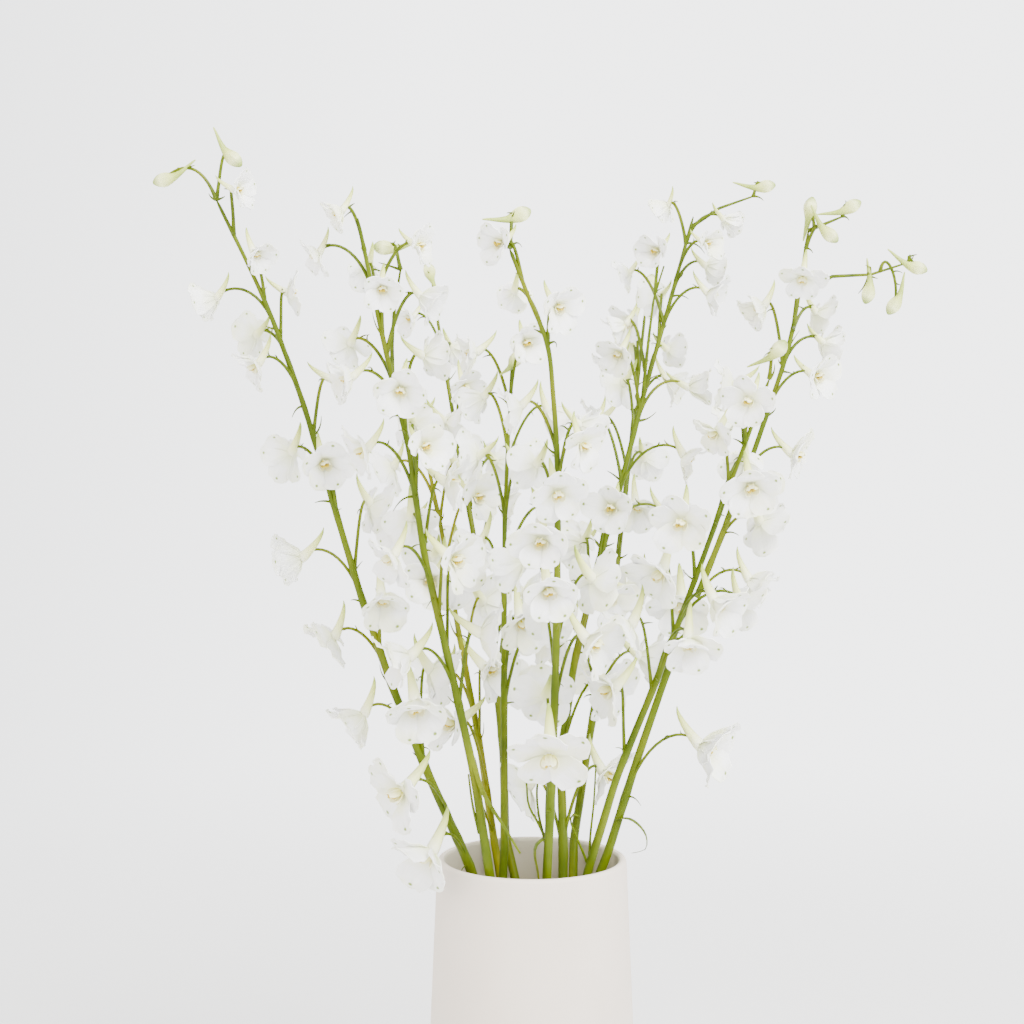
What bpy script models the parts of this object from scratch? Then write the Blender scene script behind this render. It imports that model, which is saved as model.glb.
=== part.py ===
"""Ten cut stems of white delphinium standing in water in a plain ceramic vase.

Lengths in the tables are in millimetres and become metres where a mesh is made. +X is right, +Y is back and
+Z is up, with the origin at the centre of the vase's flat base.
"""

import math
import random

import bmesh
import bpy
import numpy as np
from mathutils import Matrix, Vector

MM = 0.001
SEED = 7
WELD = 1e-6
GAP = 0.3

VASE_HEIGHT = 220
MOUTH_RADIUS = 47.5
BASE_RADIUS = 57
WALL = 4
FLOOR = 6
LIP_RADIUS = 2
FOOT_ROUNDING = 3
FLOOR_CHAMFER = 4
VASE_SIDES = 28
WATER_LEVEL = 150
WATER_SIDES = 16
WATER_FOOT_INSET = 4.5
WATER_SIDE_GAP = 0.5
HOLE_CLEARANCE = 0.6
HOLE_OVERRUN = 5

STEM_FOOT_RADIUS = 3.4
STEM_TIP_RADIUS = 0.8
STEM_STEP = 52
FORK_STEP = 17
ANCHOR_STEP = 3
FORK_RADIUS = 1.0
PEDICEL_RADIUS = 0.8
PEDICEL_OUT = 0.3
PEDICEL_CLIMB = 0.75
PEDICEL_HOOK = (8, 7)
PEDICEL_SINK = 0.2
STRIP_WIDTH = 4.5
STRIP_THICKNESS = 1.1
STRIP_STEP = 8
STRIP_TAPER = 0.4
START_PULL = {"stem": 50, "fork": 8, "strip": 4}

FLORET_WIDTH = 40
SEPALS = 5
SEPAL_THICKNESS = 0.75
SEPAL_WIDEST = 0.68
BLUNT_WIDEST = 0.9
SEPAL_SPREAD = 0.47
SEPAL_LIFT = 1.1
TIP_LEAN = 0.8
HUB = 3
BEE_HEIGHT = 3.5
SPUR_REACH = 16.5
SPUR_RISE = 9
BUD_LENGTH = 13
BUD_RADIUS = 4.2
BUD_SIZE = 0.9
BUD_BELLY = 0.3
BUD_NOSE = 0.38
BUD_NECK = (-5.2, 1.2, 0.55)
BUD_SPUR = (-11, 6, 0.3)
FLORET_DROP = 38
BUD_DROP = 8
LOWEST_BLOOM = 250
BLOOM_RUN = 300
LOW_SIZE = 1.04
HIGH_SIZE = 0.55
BLUNT_UNDER = 0.86
SIDE_SWAY = 24
RISE_RANGE = (-42, 2)
ROLL_SWAY = 16
SIZE_SWAY = 0.08
CUPS = (14, 28, 42)
HIGH_CUP = 10
FILL_STEP = 9
FILL_TURN = 137.5
FILL_CLEAR = 36
FILL_REACH = 21
FILL_INSET = 6
FILL_STEM_GAP = 13
OUTER_STEMS = ("stem_far_left", "stem_far_right")

BLADE_GAP = 8.2
OWN_BLADE_GAP = 6.5
STEM_GAP = 6.7
STALK_GAP = 5.0
GAP_SHARE = 0.35
SETTLE_STEP = 0.55
SETTLE_ROUNDS = 140
SETTLE_REACH = 60
SETTLE_LIMIT = 5
SETTLED = 0.2
PROBE_REACH = 40

FIVE_SIDED, FOUR_SIDED, THREE_SIDED, STRIP = "five_sided", "four_sided", "three_sided", "strip"

# Each stem runs from its foot on the vase's floor straight to the mouth, and then along its route to the tip.
# A floret is (height, side, reach): it stands off its stem at that height, on the compass side given in
# degrees (0 right, 90 back, 180 left, 270 front) and at that reach; a fourth number is how much more it nods.
# A bud is (x, y, z, side, rise), where side and rise are of where it points.
STEMS = {
    "stem_far_left": {
        "foot": (39, 17), "mouth": (-31, -18), "bloom": (1.0, 1.0),
        "route": [(-53, -22, 271), (-74, -26, 326), (-91, -31, 382), (-107, -35, 440), (-126, -40, 495),
                  (-149, -44, 544)],
        "florets": [(231, 230, 21), (262, 235, 24), (297, 195, 20), (305, 295, 24), (334, 170, 21),
                    (357, 300, 24), (374, 180, 23), (421, 280, 20), (424, 140, 19), (467, 210, 16),
                    (481, 135, 17), (498, 180, 23), (460, 20, 18), (399, 35, 21), (548, 325, 12),
                    (318, 10, 22)],
        "buds": [(-174, -44, 553, 180, -10), (-141, -42, 563, 350, -35)],
    },
    "stem_left_front": {
        "foot": (3, 21), "mouth": (-21, -32), "bloom": (1.0, 1.0),
        "route": [(-33, -44, 298), (-45, -54, 345), (-54, -64, 396), (-60, -74, 444), (-70, -83, 484),
                  (-80, -89, 518), (-79, -93, 532)],
        "forks": [[(-63, -77, 460), (-65, -72, 481), (-63, -72, 500), (-61, -73, 510)]],
        "florets": [(456, 280, 23), (461, 205, 20), (476, 150, 19), (501, 295, 12), (535, 180, 8),
                    (517, 170, 21), (520, 0, 24), (497, 350, 22), (471, 15, 17), (378, 305, 24),
                    (428, 195, 20), (379, 230, 21), (331, 215, 20)],
        "buds": [(-69, -70, 520, 200, 10)],
    },
    "stem_left_back": {
        "foot": (18, 7), "mouth": (-19, 29), "bloom": (1.0, 1.0),
        "route": [(-27, 38, 272), (-39, 51, 333), (-49, 62, 390), (-59, 71, 436)],
        "florets": [(398, 340, 23), (437, 0, 14), (342, 30, 18), (311, 310, 18), (284, 240, 20),
                    (413, 30, 18), (412, 150, 23), (365, 110, 22), (383, 200, 20)],
        "buds": [(-62, 76, 450, 130, 40)],
    },
    "stem_centre": {
        "foot": (-26, -16), "mouth": (-14, 5), "bloom": (1.0, 1.0),
        "route": [(-14, 13, 298), (-14, 20, 360), (-13, 27, 420), (-11, 30, 448)],
        "florets": [(473, 195, 18), (478, 300, 16), (418, 300, 18), (450, 150, 16), (392, 15, 22),
                    (375, 135, 18), (340, 295, 20), (330, 20, 20), (443, 350, 20)],
        "buds": [(-8, 34, 470, 60, 50)],
    },
    "stem_centre_front": {
        "foot": (2, -6), "mouth": (7, -35), "bloom": (1.08, 0.9),
        "route": [(10, -52, 296), (11, -72, 370), (11, -86, 417), (8, -95, 455), (6, -102, 480),
                  (-1, -110, 496), (-11, -118, 517)],
        "florets": [(519, 245, 8), (499, 110, 15), (492, 305, 18), (432, 300, 22), (410, 268, 20),
                    (366, 260, 27), (307, 100, 18), (286, 265, 24, 38), (336, 345, 20), (388, 250, 22)],
        "buds": [(-6, -114, 532, 20, 30)],
    },
    "stem_right_back": {
        "foot": (12, -36), "mouth": (16, 10), "bloom": (1.0, 1.0),
        "route": [(16, 26, 280), (31, 41, 350), (46, 51, 402), (60, 61, 455), (72, 69, 494),
                  (77, 75, 528), (86, 79, 545)],
        "forks": [[(58, 60, 448), (61, 54, 480), (65, 56, 509), (69, 57, 518)],
                  [(84, 78, 541), (96, 81, 549), (109, 81, 550), (118, 82, 556)]],
        "florets": [(551, 160, 14), (524, 225, 17), (546, 10, 15), (504, 338, 20), (530, 300, 18),
                    (515, 175, 26), (488, 195, 21), (473, 225, 28), (455, 15, 24), (420, 340, 30),
                    (389, 5, 28), (373, 120, 20), (349, 35, 24), (250, 150, 20), (436, 185, 22)],
        "buds": [(125, 82, 561, 0, 15)],
    },
    "stem_right_front": {
        "foot": (-27, -2), "mouth": (28, -21), "bloom": (1.0, 1.0),
        "route": [(46, -32, 282), (66, -42, 332), (86, -54, 394), (100, -62, 432), (109, -66, 460)],
        "florets": [(313, 200, 22), (341, 205, 27), (338, 285, 21), (370, 205, 20), (395, 225, 26),
                    (436, 205, 18), (457, 180, 16), (451, 250, 24), (354, 0, 24), (356, 315, 18)],
        "buds": [(113, -70, 474, 330, 50)],
    },
    "stem_far_right": {
        "foot": (-41, 11), "mouth": (38, 5), "bloom": (1.0, 1.0),
        "route": [(58, 8, 283), (82, 11, 350), (102, 14, 395), (121, 17, 451), (133, 19, 488),
                  (137, 21, 515), (139, 22, 534)],
        "forks": [[(136, 20, 500), (145, 21, 508), (157, 21, 513), (172, 21, 512), (182, 21, 516),
                   (189, 21, 518)],
                  [(139, 22, 533), (144, 22, 538), (151, 22, 538), (156, 22, 541)]],
        "florets": [(277, 340, 30), (359, 350, 23), (387, 25, 20), (422, 0, 20), (462, 335, 16),
                    (478, 20, 18), (496, 195, 18), (510, 265, 16), (493, 45, 18), (404, 290, 19)],
        "buds": [(140, 22, 546, 20, 80), (149, 16, 531, 0, -35), (161, 22, 546, 0, 35),
                 (169, 21, 502, 200, -70), (182, 21, 496, 185, -50), (194, 21, 515, 0, -10)],
    },
    "stem_back_left": {
        "foot": (38, -15), "mouth": (-13, 38), "bloom": (1.0, 1.0),
        "route": [(-16, 56, 284), (-26, 76, 350), (-38, 97, 415), (-48, 115, 474), (-53, 124, 503)],
        "florets": [(298, 70, 26), (322, 60, 24), (346, 345, 22), (368, 120, 24), (392, 340, 20),
                    (414, 30, 22), (436, 165, 22), (456, 300, 18), (476, 75, 18), (493, 210, 15)],
        "buds": [(-56, 128, 519, 110, 60)],
    },
    "stem_back_right": {
        "foot": (16, -28), "mouth": (22, 32), "bloom": (1.0, 1.0),
        "route": [(32, 50, 280), (44, 73, 345), (53, 97, 410), (60, 117, 466), (64, 128, 497)],
        "florets": [(304, 95, 26), (326, 195, 24), (348, 10, 24), (371, 150, 22), (393, 285, 20),
                    (415, 65, 22), (437, 200, 20), (458, 335, 18), (475, 100, 18), (490, 240, 15)],
        "buds": [(67, 133, 513, 60, 60)],
    },
}

# Narrow leaves that grow from the stems near the mouth: the points of each, from its root to its tip.
STRIPS = {
    "stem_left_front": [[(-29, -40, 278), (-24, -43, 262), (-14, -46, 246), (-6, -47, 233)]],
    "stem_centre_front": [[(8, -37, 239), (2, -39, 236), (1, -39.5, 230), (2.5, -39.5, 222), (3, -39, 212),
                           (1, -38, 203)]],
    "stem_far_right": [[(43, 5, 238), (50, 1, 239), (57, 0, 232), (57, 0, 224), (50, 0, 222)]],
}


def clear_scene():
    for obj in list(bpy.data.objects):
        bpy.data.objects.remove(obj, do_unlink=True)


def collection(name, hidden=False):
    made = bpy.data.collections.new(name)
    bpy.context.scene.collection.children.link(made)
    made.hide_render = hidden
    return made


def material(name, colour, roughness, metallic=0.0):
    made = bpy.data.materials.new(name)
    made.use_nodes = True
    shader = made.node_tree.nodes["Principled BSDF"]
    shader.inputs["Base Color"].default_value = (*colour, 1)
    shader.inputs["Roughness"].default_value = roughness
    shader.inputs["Metallic"].default_value = metallic
    made.diffuse_color = (*colour, 1)
    return made


def new_object(name, data, home, finish):
    made = bpy.data.objects.new(name, data)
    home.objects.link(made)
    if finish is not None:
        made.data.materials.append(finish)
    return made


def evaluated_mesh(obj):
    graph = bpy.context.evaluated_depsgraph_get()
    return bpy.data.meshes.new_from_object(obj.evaluated_get(graph))


def unit(vector):
    return vector / np.linalg.norm(vector)


def toward(side, rise):
    """The direction that points to a compass side and rises from the horizontal, both in degrees."""
    side, rise = math.radians(side), math.radians(rise)
    return np.array([math.cos(side) * math.cos(rise), math.sin(side) * math.cos(rise), math.sin(rise)])


# The vase and its water


def vase_radius(height):
    return BASE_RADIUS + (MOUTH_RADIUS - BASE_RADIUS) * height / VASE_HEIGHT


def vase_profile():
    """From the middle of the inner floor up the inside, over the lip and down the outside to the base."""
    points = [(0, FLOOR), (vase_radius(FLOOR) - WALL - FLOOR_CHAMFER, FLOOR),
              (vase_radius(FLOOR + FLOOR_CHAMFER) - WALL, FLOOR + FLOOR_CHAMFER)]
    lip_height = VASE_HEIGHT - LIP_RADIUS
    lip_centre = MOUTH_RADIUS - LIP_RADIUS
    for angle in (180, 135, 90, 45, 0):
        turn = math.radians(angle)
        points.append((lip_centre + LIP_RADIUS * math.cos(turn), lip_height + LIP_RADIUS * math.sin(turn)))
    for angle in (0, -45, -90):
        turn = math.radians(angle)
        points.append((BASE_RADIUS - FOOT_ROUNDING * (1 - math.cos(turn)),
                       FOOT_ROUNDING * (1 + math.sin(turn))))
    points.append((0, 0))
    return points


def make_vase(home, finish):
    mesh = bpy.data.meshes.new("vase")
    profile = vase_profile()
    points = [(x * MM, 0, z * MM) for x, z in profile]
    mesh.from_pydata(points, [(i, i + 1) for i in range(len(points) - 1)], [])
    vase = new_object("vase", mesh, home, finish)
    turned = vase.modifiers.new("turned", "SCREW")
    turned.steps = turned.render_steps = VASE_SIDES
    turned.use_merge_vertices = True
    turned.merge_threshold = 1e-5
    turned.use_normal_calculate = True
    vase.data = evaluated_mesh(vase)
    vase.modifiers.clear()
    vase.data.shade_smooth()
    vase.data.set_sharp_from_angle(angle=math.radians(40))
    return vase


def make_water(home, cutters, finish, stems):
    """A frustum that fills the vase to its level, with a plain hole for each stem."""
    low = FLOOR + GAP
    wide = vase_radius(low) - WALL - WATER_FOOT_INSET
    mesh = bpy.data.meshes.new("water")
    solid = bmesh.new()
    bmesh.ops.create_cone(
        solid, cap_ends=True, segments=WATER_SIDES, radius1=wide * MM,
        radius2=(vase_radius(WATER_LEVEL) - WALL - WATER_SIDE_GAP) * MM, depth=(WATER_LEVEL - low) * MM,
        matrix=Matrix.Translation((0, 0, (low + WATER_LEVEL) / 2 * MM)),
    )
    solid.to_mesh(mesh)
    solid.free()
    water = new_object("water", mesh, home, finish)
    for name, plan in stems.items():
        foot, mouth = plan["axis"][0], plan["axis"][1]
        along = unit(mouth - foot)
        ends = [foot - along * HOLE_OVERRUN, mouth]
        radii = [stem_radius(plan, point[2]) + HOLE_CLEARANCE for point in ends]
        cutter = tube(name + "_hole", ends, radii, FIVE_SIDED, cutters, None)
        cutter.display_type = "WIRE"
        cutter.hide_render = True
    holes = water.modifiers.new("holes", "BOOLEAN")
    holes.operation = "DIFFERENCE"
    holes.operand_type = "COLLECTION"
    holes.collection = cutters
    return water


# Stems, forks, pedicels and leaf strips


def smooth_route(points, start):
    """A smooth curve through the points, leaving the first along start, as closely spaced points."""
    points = [np.array(point, float) for point in points]
    around = [points[0] - start, *points, 2 * points[-1] - points[-2]]
    curve = []
    for a, b, c, d in zip(around, around[1:], around[2:], around[3:]):
        count = max(2, round(float(np.linalg.norm(c - b)) / ANCHOR_STEP))
        for t in np.linspace(0, 1, count, endpoint=False):
            bends = (2 * a - 5 * b + 4 * c - d) * t**2 + (3 * b - a - 3 * c + d) * t**3
            curve.append(0.5 * (2 * b + (c - a) * t + bends))
    curve.append(points[-1])
    return np.array(curve)


def thinned(curve, step):
    """Points of the curve about one step apart, with both its ends."""
    run = np.concatenate([[0], np.cumsum(np.linalg.norm(np.diff(curve, axis=0), axis=1))])
    count = max(2, round(run[-1] / step) + 1)
    places = np.linspace(0, run[-1], count)
    return np.array([[np.interp(at, run, curve[:, i]) for i in range(3)] for at in places])


def stem_radius(plan, height):
    """The stem tapers evenly from its foot to its own tip."""
    share = min(1.0, max(0.0, height / plan["route"][-1][2]))
    return STEM_FOOT_RADIUS + (STEM_TIP_RADIUS - STEM_FOOT_RADIUS) * share


def nearest(points, target):
    return points[int(((points - target)**2).sum(axis=1).argmin())]


def plan_stem(plan):
    """Adds the stem's axis, its forks' axes and all the points that florets may hang from."""
    foot = np.array([*plan["foot"], FLOOR], float)
    mouth = np.array([*plan["mouth"], VASE_HEIGHT], float)
    lean = float(np.linalg.norm((mouth - foot)[:2])) / VASE_HEIGHT
    foot[2] = FLOOR + GAP + STEM_FOOT_RADIUS * lean
    above = thinned(smooth_route([mouth, *plan["route"]], unit(mouth - foot) * START_PULL["stem"]), STEM_STEP)
    plan["axis"] = np.concatenate([[foot], above])
    plan["above"] = thinned(above, ANCHOR_STEP)
    plan["fork_axes"] = []
    for fork in plan.get("forks", []):
        root = nearest(plan["above"], np.array(fork[0]))
        route = smooth_route([root, *fork[1:]], np.array([0, 0, START_PULL["fork"]]))
        plan["fork_axes"].append(thinned(route, FORK_STEP))
    forks = [thinned(axis, ANCHOR_STEP) for axis in plan["fork_axes"]]
    plan["anchors"] = np.concatenate([plan["above"], *forks])


def profile_curve(name, corners, home):
    """A flat closed outline, in millimetres, that a tube carries along its points."""
    data = bpy.data.curves.new(name, "CURVE")
    data.dimensions = "2D"
    data.fill_mode = "NONE"
    spline = data.splines.new("POLY")
    spline.points.add(len(corners) - 1)
    for point, (x, y) in zip(spline.points, corners):
        point.co = (x * MM, y * MM, 0, 1)
    spline.use_cyclic_u = True
    made = bpy.data.objects.new(name, data)
    home.objects.link(made)
    made.hide_render = True
    return made


def round_corners(sides):
    turns = [2 * math.pi * i / sides for i in range(sides)]
    return [(math.cos(turn), math.sin(turn)) for turn in turns]


def tube(name, points, radii, profile, home, finish):
    """A mesh tube along the points, whose profile is scaled by the radius at each."""
    data = bpy.data.curves.new(name, "CURVE")
    data.dimensions = "3D"
    data.twist_mode = "MINIMUM"
    spline = data.splines.new("POLY")
    spline.points.add(len(points) - 1)
    for point, place, radius in zip(spline.points, points, radii):
        point.co = (*(place * MM), 1)
        point.radius = radius
    data.bevel_mode = "OBJECT"
    data.bevel_object = bpy.data.objects[profile]
    data.use_fill_caps = True
    guide = bpy.data.objects.new(name, data)
    home.objects.link(guide)
    mesh = evaluated_mesh(guide)
    bpy.data.objects.remove(guide)
    solid = bmesh.new()
    solid.from_mesh(mesh)
    bmesh.ops.remove_doubles(solid, verts=solid.verts, dist=WELD)
    bmesh.ops.recalc_face_normals(solid, faces=solid.faces)
    solid.to_mesh(mesh)
    solid.free()
    mesh.materials.clear()
    return new_object(name, mesh, home, finish)


def pedicel_points(root, floret, count):
    """The thin stalk climbs beside its stem, and hooks over to meet the floret from behind."""
    size = floret["size"]
    end = floret["centre"] + floret["facing"] * PEDICEL_SINK * size
    away = (end - root) * np.array([1, 1, 0])
    length = float(np.linalg.norm(end - root))
    first = root + away * PEDICEL_OUT + np.array([0, 0, length * PEDICEL_CLIMB])
    second = end - floret["facing"] * PEDICEL_HOOK[0] * size + np.array([0, 0, PEDICEL_HOOK[1] * size])
    points = []
    for t in np.linspace(0, 1, count):
        s = 1 - t
        points.append(s**3 * root + 3 * s**2 * t * first + 3 * s * t**2 * second + t**3 * end)
    return points


# Florets and buds


def extrude_face(solid, face, forward, up, scale):
    """Extrudes a face, moves it along +Z and +Y and scales it about its own middle."""
    made = bmesh.ops.extrude_discrete_faces(solid, faces=[face])["faces"][0]
    middle = made.calc_center_median()
    for vert in made.verts:
        vert.co = middle + (vert.co - middle) * scale + Vector((0, up, forward)) * MM
    return made


def close_face(solid, face, forward, up, scale):
    """Extrudes an end face and brings it to a point."""
    made = extrude_face(solid, face, forward, up, scale)
    bmesh.ops.pointmerge(solid, verts=list(made.verts), merge_co=made.calc_center_median())


def sepal_points(index, cup, blunt):
    """Where a sepal is widest, left and right, and its tip, cupped forward by that angle in degrees."""
    turn = math.radians(90 + 360 / SEPALS * index)
    half = FLORET_WIDTH / 2
    lean = math.radians(cup)
    out = Vector((math.cos(turn), math.sin(turn), 0))
    across = Vector((-out.y, out.x, 0))
    middle = half * (BLUNT_WIDEST if blunt else SEPAL_WIDEST)
    wide = out * (HUB + (middle - HUB) * math.cos(lean)) + Vector((0, 0, middle * math.sin(lean)))
    tip_lean = lean * TIP_LEAN
    tip = out * (HUB + (half - HUB) * math.cos(tip_lean)) + Vector((0, 0, half * math.sin(tip_lean)))
    lift = Vector((0, 0, SEPAL_LIFT))
    spread = across * half * SEPAL_SPREAD * math.cos(tip_lean)
    return (wide - spread + lift) * MM, (wide + spread - lift) * MM, tip * MM


def floret_mesh(cup, blunt):
    """Five overlapping sepals round a hub, with a raised centre in front and a spur behind.

    A small floret's sepals end at their widest line, where the others come to a tip.
    """
    solid = bmesh.new()
    made = bmesh.ops.create_circle(
        solid, cap_ends=True, segments=SEPALS, radius=HUB * MM / math.cos(math.pi / SEPALS),
        matrix=Matrix.Rotation(math.radians(90 + 180 / SEPALS), 4, "Z"),
    )
    hub = made["verts"][0].link_faces[0]
    if hub.normal.z < 0:
        bmesh.ops.reverse_faces(solid, faces=[hub])
    for index in range(SEPALS):
        left, right, tip = sepal_points(index, cup, blunt)
        out = Vector((tip.x, tip.y, 0)).normalized()
        root = max(hub.edges, key=lambda edge: (edge.verts[0].co + edge.verts[1].co).dot(out))
        wide = [item for item in bmesh.ops.extrude_edge_only(solid, edges=[root])["geom"]
                if isinstance(item, bmesh.types.BMEdge)][0]
        across = Vector((-out.y, out.x, 0))
        ends = sorted(wide.verts, key=lambda vert: vert.co.dot(across))
        ends[0].co, ends[1].co = left, right
        if blunt:
            continue
        last = [item for item in bmesh.ops.extrude_edge_only(solid, edges=[wide])["geom"]
                if isinstance(item, bmesh.types.BMVert)]
        bmesh.ops.pointmerge(solid, verts=last, merge_co=tip)
    blades = [face for face in solid.faces if face is not hub]
    bmesh.ops.triangulate(solid, faces=blades)
    bmesh.ops.solidify(solid, geom=solid.faces[:], thickness=SEPAL_THICKNESS * MM)
    bmesh.ops.recalc_face_normals(solid, faces=solid.faces)
    caps = sorted((face for face in solid.faces if len(face.verts) == SEPALS), key=lambda face: face.normal.z)
    back, front = caps[0], caps[-1]
    bee = bmesh.ops.poke(solid, faces=[front])["verts"][0]
    bee.co.z += BEE_HEIGHT * MM
    spur = bmesh.ops.poke(solid, faces=[back])["verts"][0]
    spur.co += Vector((0, SPUR_RISE, -SPUR_REACH)) * MM
    return finished_mesh(solid, "floret")


def bud_mesh():
    """A closed bud: a blunt nose, a full middle and a spur that tapers from its back."""
    solid = bmesh.new()
    made = bmesh.ops.create_circle(solid, cap_ends=True, segments=SEPALS, radius=BUD_RADIUS * MM)
    nose = made["verts"][0].link_faces[0]
    belly = extrude_face(solid, nose, 0, 0, 1)
    for vert in belly.verts:
        vert.co.z -= BUD_LENGTH * BUD_BELLY * MM
    neck = extrude_face(solid, belly, *BUD_NECK)
    close_face(solid, neck, *BUD_SPUR)
    rim = [edge for edge in solid.edges if edge.is_boundary]
    tip = bmesh.ops.extrude_edge_only(solid, edges=rim)["geom"]
    verts = [item for item in tip if isinstance(item, bmesh.types.BMVert)]
    bmesh.ops.pointmerge(solid, verts=verts, merge_co=(0, 0, BUD_LENGTH * BUD_NOSE * MM))
    return finished_mesh(solid, "bud")


def finished_mesh(solid, name):
    bmesh.ops.remove_doubles(solid, verts=solid.verts, dist=WELD)
    bmesh.ops.recalc_face_normals(solid, faces=solid.faces)
    mesh = bpy.data.meshes.new(name)
    solid.to_mesh(mesh)
    solid.free()
    return mesh


def frame_of(floret):
    """The floret's own axes as columns: across, up (where its spur climbs) and facing."""
    facing = floret["facing"]
    upright = np.array([0, 0, 1]) if abs(facing[2]) < 0.95 else np.array([0, 1, 0])
    across = unit(np.cross(upright, facing))
    up = np.cross(facing, across)
    roll = math.radians(floret["roll"])
    turned = across * math.cos(roll) + up * math.sin(roll)
    return np.array([turned, np.cross(facing, turned), facing]).T


def place(mesh, floret, home, finish, name):
    made = new_object(name, mesh.copy(), home, None)
    matrix = Matrix(frame_of(floret).tolist()).to_4x4() @ Matrix.Scale(floret["size"], 4)
    matrix.translation = Vector(floret["centre"] * MM)
    made.data.transform(matrix)
    made.data.materials.append(finish)
    return made


def on_stem(plan, height):
    above = plan["above"]
    return np.array([*[np.interp(height, above[:, 2], above[:, i]) for i in range(2)], height])


def plan_floret(name, plan, spot, draw):
    """One floret at a spot of its stem: middle, facing, size and openness, with small seeded differences."""
    height, side, reach, *nod = spot
    facing = toward(side + draw.uniform(-SIDE_SWAY, SIDE_SWAY), draw.uniform(*RISE_RANGE) - sum(nod))
    share = min(1.0, max(0.0, (height - LOWEST_BLOOM) / BLOOM_RUN))
    bloom = np.interp(share, (0, 1), plan["bloom"]) * np.interp(share, (0, 1), (LOW_SIZE, HIGH_SIZE))
    return {
        "stem": name, "centre": on_stem(plan, height) + toward(side, 0) * reach, "facing": facing,
        "size": bloom * draw.uniform(1 - SIZE_SWAY, 1 + SIZE_SWAY),
        "roll": draw.uniform(-ROLL_SWAY, ROLL_SWAY),
        "cup": draw.choice(CUPS) + HIGH_CUP * share,
    }


def plan_florets(stems):
    """The florets of the tables, and then more up each stem in a spiral, where the tables leave room."""
    draw = random.Random(SEED)
    florets = []
    for name, plan in stems.items():
        florets += [plan_floret(name, plan, spot, draw) for spot in plan["florets"]]
    left, right = [stems[name] for name in OUTER_STEMS]
    for name, plan in stems.items():
        heights = [spot[0] for spot in plan["florets"]]
        strangers = joined([other["anchors"] for other in stems.values() if other is not plan])
        for turn, height in enumerate(np.arange(min(heights) + FILL_STEP, max(heights), FILL_STEP)):
            share = min(1.0, max(0.0, (height - LOWEST_BLOOM) / BLOOM_RUN))
            size = float(np.interp(share, (0, 1), (LOW_SIZE, HIGH_SIZE)))
            side = turn * FILL_TURN % 360
            spot = on_stem(plan, height) + toward(side, 0) * FILL_REACH * size
            inside = on_stem(left, height)[0] + FILL_INSET < spot[0] < on_stem(right, height)[0] - FILL_INSET
            near = min(float(np.linalg.norm(spot - other["centre"])) for other in florets)
            beside = float(np.linalg.norm(strangers - spot, axis=1).min())
            if inside and near > FILL_CLEAR * size and beside > FILL_STEM_GAP:
                florets.append(plan_floret(name, plan, (height, side, FILL_REACH * size), draw))
    return florets


def probes(floret):
    """Points that stand for the floret's sepals, middle and spur."""
    half = FLORET_WIDTH / 2
    lean = math.radians(floret["cup"] * TIP_LEAN)
    local = [(0, 0, 0), (0, SPUR_RISE * 0.5, -SPUR_REACH * 0.5), (0, SPUR_RISE, -SPUR_REACH)]
    for index in range(SEPALS):
        turn = math.radians(90 + 360 / SEPALS * index)
        for reach in (0.5, 0.85):
            out = half * reach * math.cos(lean)
            local.append((math.cos(turn) * out, math.sin(turn) * out, half * reach * math.sin(lean)))
    frame = frame_of(floret) * floret["size"]
    return np.array([frame[:, 0] * x + frame[:, 1] * y + frame[:, 2] * z for x, y, z in local])


def stalk_of(floret, plan):
    """Points along the floret's pedicel, clear of both its ends."""
    root = root_of(plan, floret["centre"], FLORET_DROP * floret["size"])
    return np.array(pedicel_points(root, floret, 7)[2:6])


def settle(florets, stems):
    """Moves florets apart, and off the stems and each other's stalks, toward the clearances named above."""
    for floret in florets:
        floret["probes"] = probes(floret)
        floret["stalk"] = stalk_of(floret, stems[floret["stem"]])
    for _ in range(SETTLE_ROUNDS):
        most = 0.0
        for floret in florets:
            blades, stalk = floret["probes"] + floret["centre"], floret["stalk"]
            near = [other for other in florets if other is not floret
                    and np.abs(other["centre"] - floret["centre"]).max() < SETTLE_REACH]
            same = [other for other in near if other["stem"] == floret["stem"]]
            foreign = [other for other in near if other["stem"] != floret["stem"]]
            stalks = joined([other["stalk"] for other in near])
            other_stems = joined([plan["anchors"] for name, plan in stems.items() if name != floret["stem"]])
            foreign_blades = joined([other["probes"] + other["centre"] for other in foreign])
            own_blades = joined([other["probes"] + other["centre"] for other in same])
            other_blades = joined([foreign_blades, own_blades])
            room = GAP_SHARE + (1 - GAP_SHARE) * floret["size"]
            push = deepest(blades, foreign_blades, BLADE_GAP * room)
            push = push + deepest(blades, own_blades, OWN_BLADE_GAP * room)
            push = push + deepest(blades, stalks, STALK_GAP * room)
            push = push + deepest(blades, other_stems, STEM_GAP * room)
            push = push + deepest(blades, stems[floret["stem"]]["anchors"], STEM_GAP * room)
            push = push + deepest(stalk, other_blades, STALK_GAP) + deepest(stalk, other_stems, STALK_GAP)
            push = push + deepest(stalk, stalks, STALK_GAP / 2)
            length = float(np.linalg.norm(push))
            most = max(most, length)
            if length > 0:
                step = push * SETTLE_STEP * min(1.0, SETTLE_LIMIT / length)
                floret["centre"] = np.round(floret["centre"] + step, 2)
                floret["stalk"] = stalk_of(floret, stems[floret["stem"]])
        if most < SETTLED:
            break
    for floret in florets:
        floret["centre"] = np.round(floret["centre"], 1)


def joined(groups):
    return np.concatenate([*groups, np.zeros((0, 3))])


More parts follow.
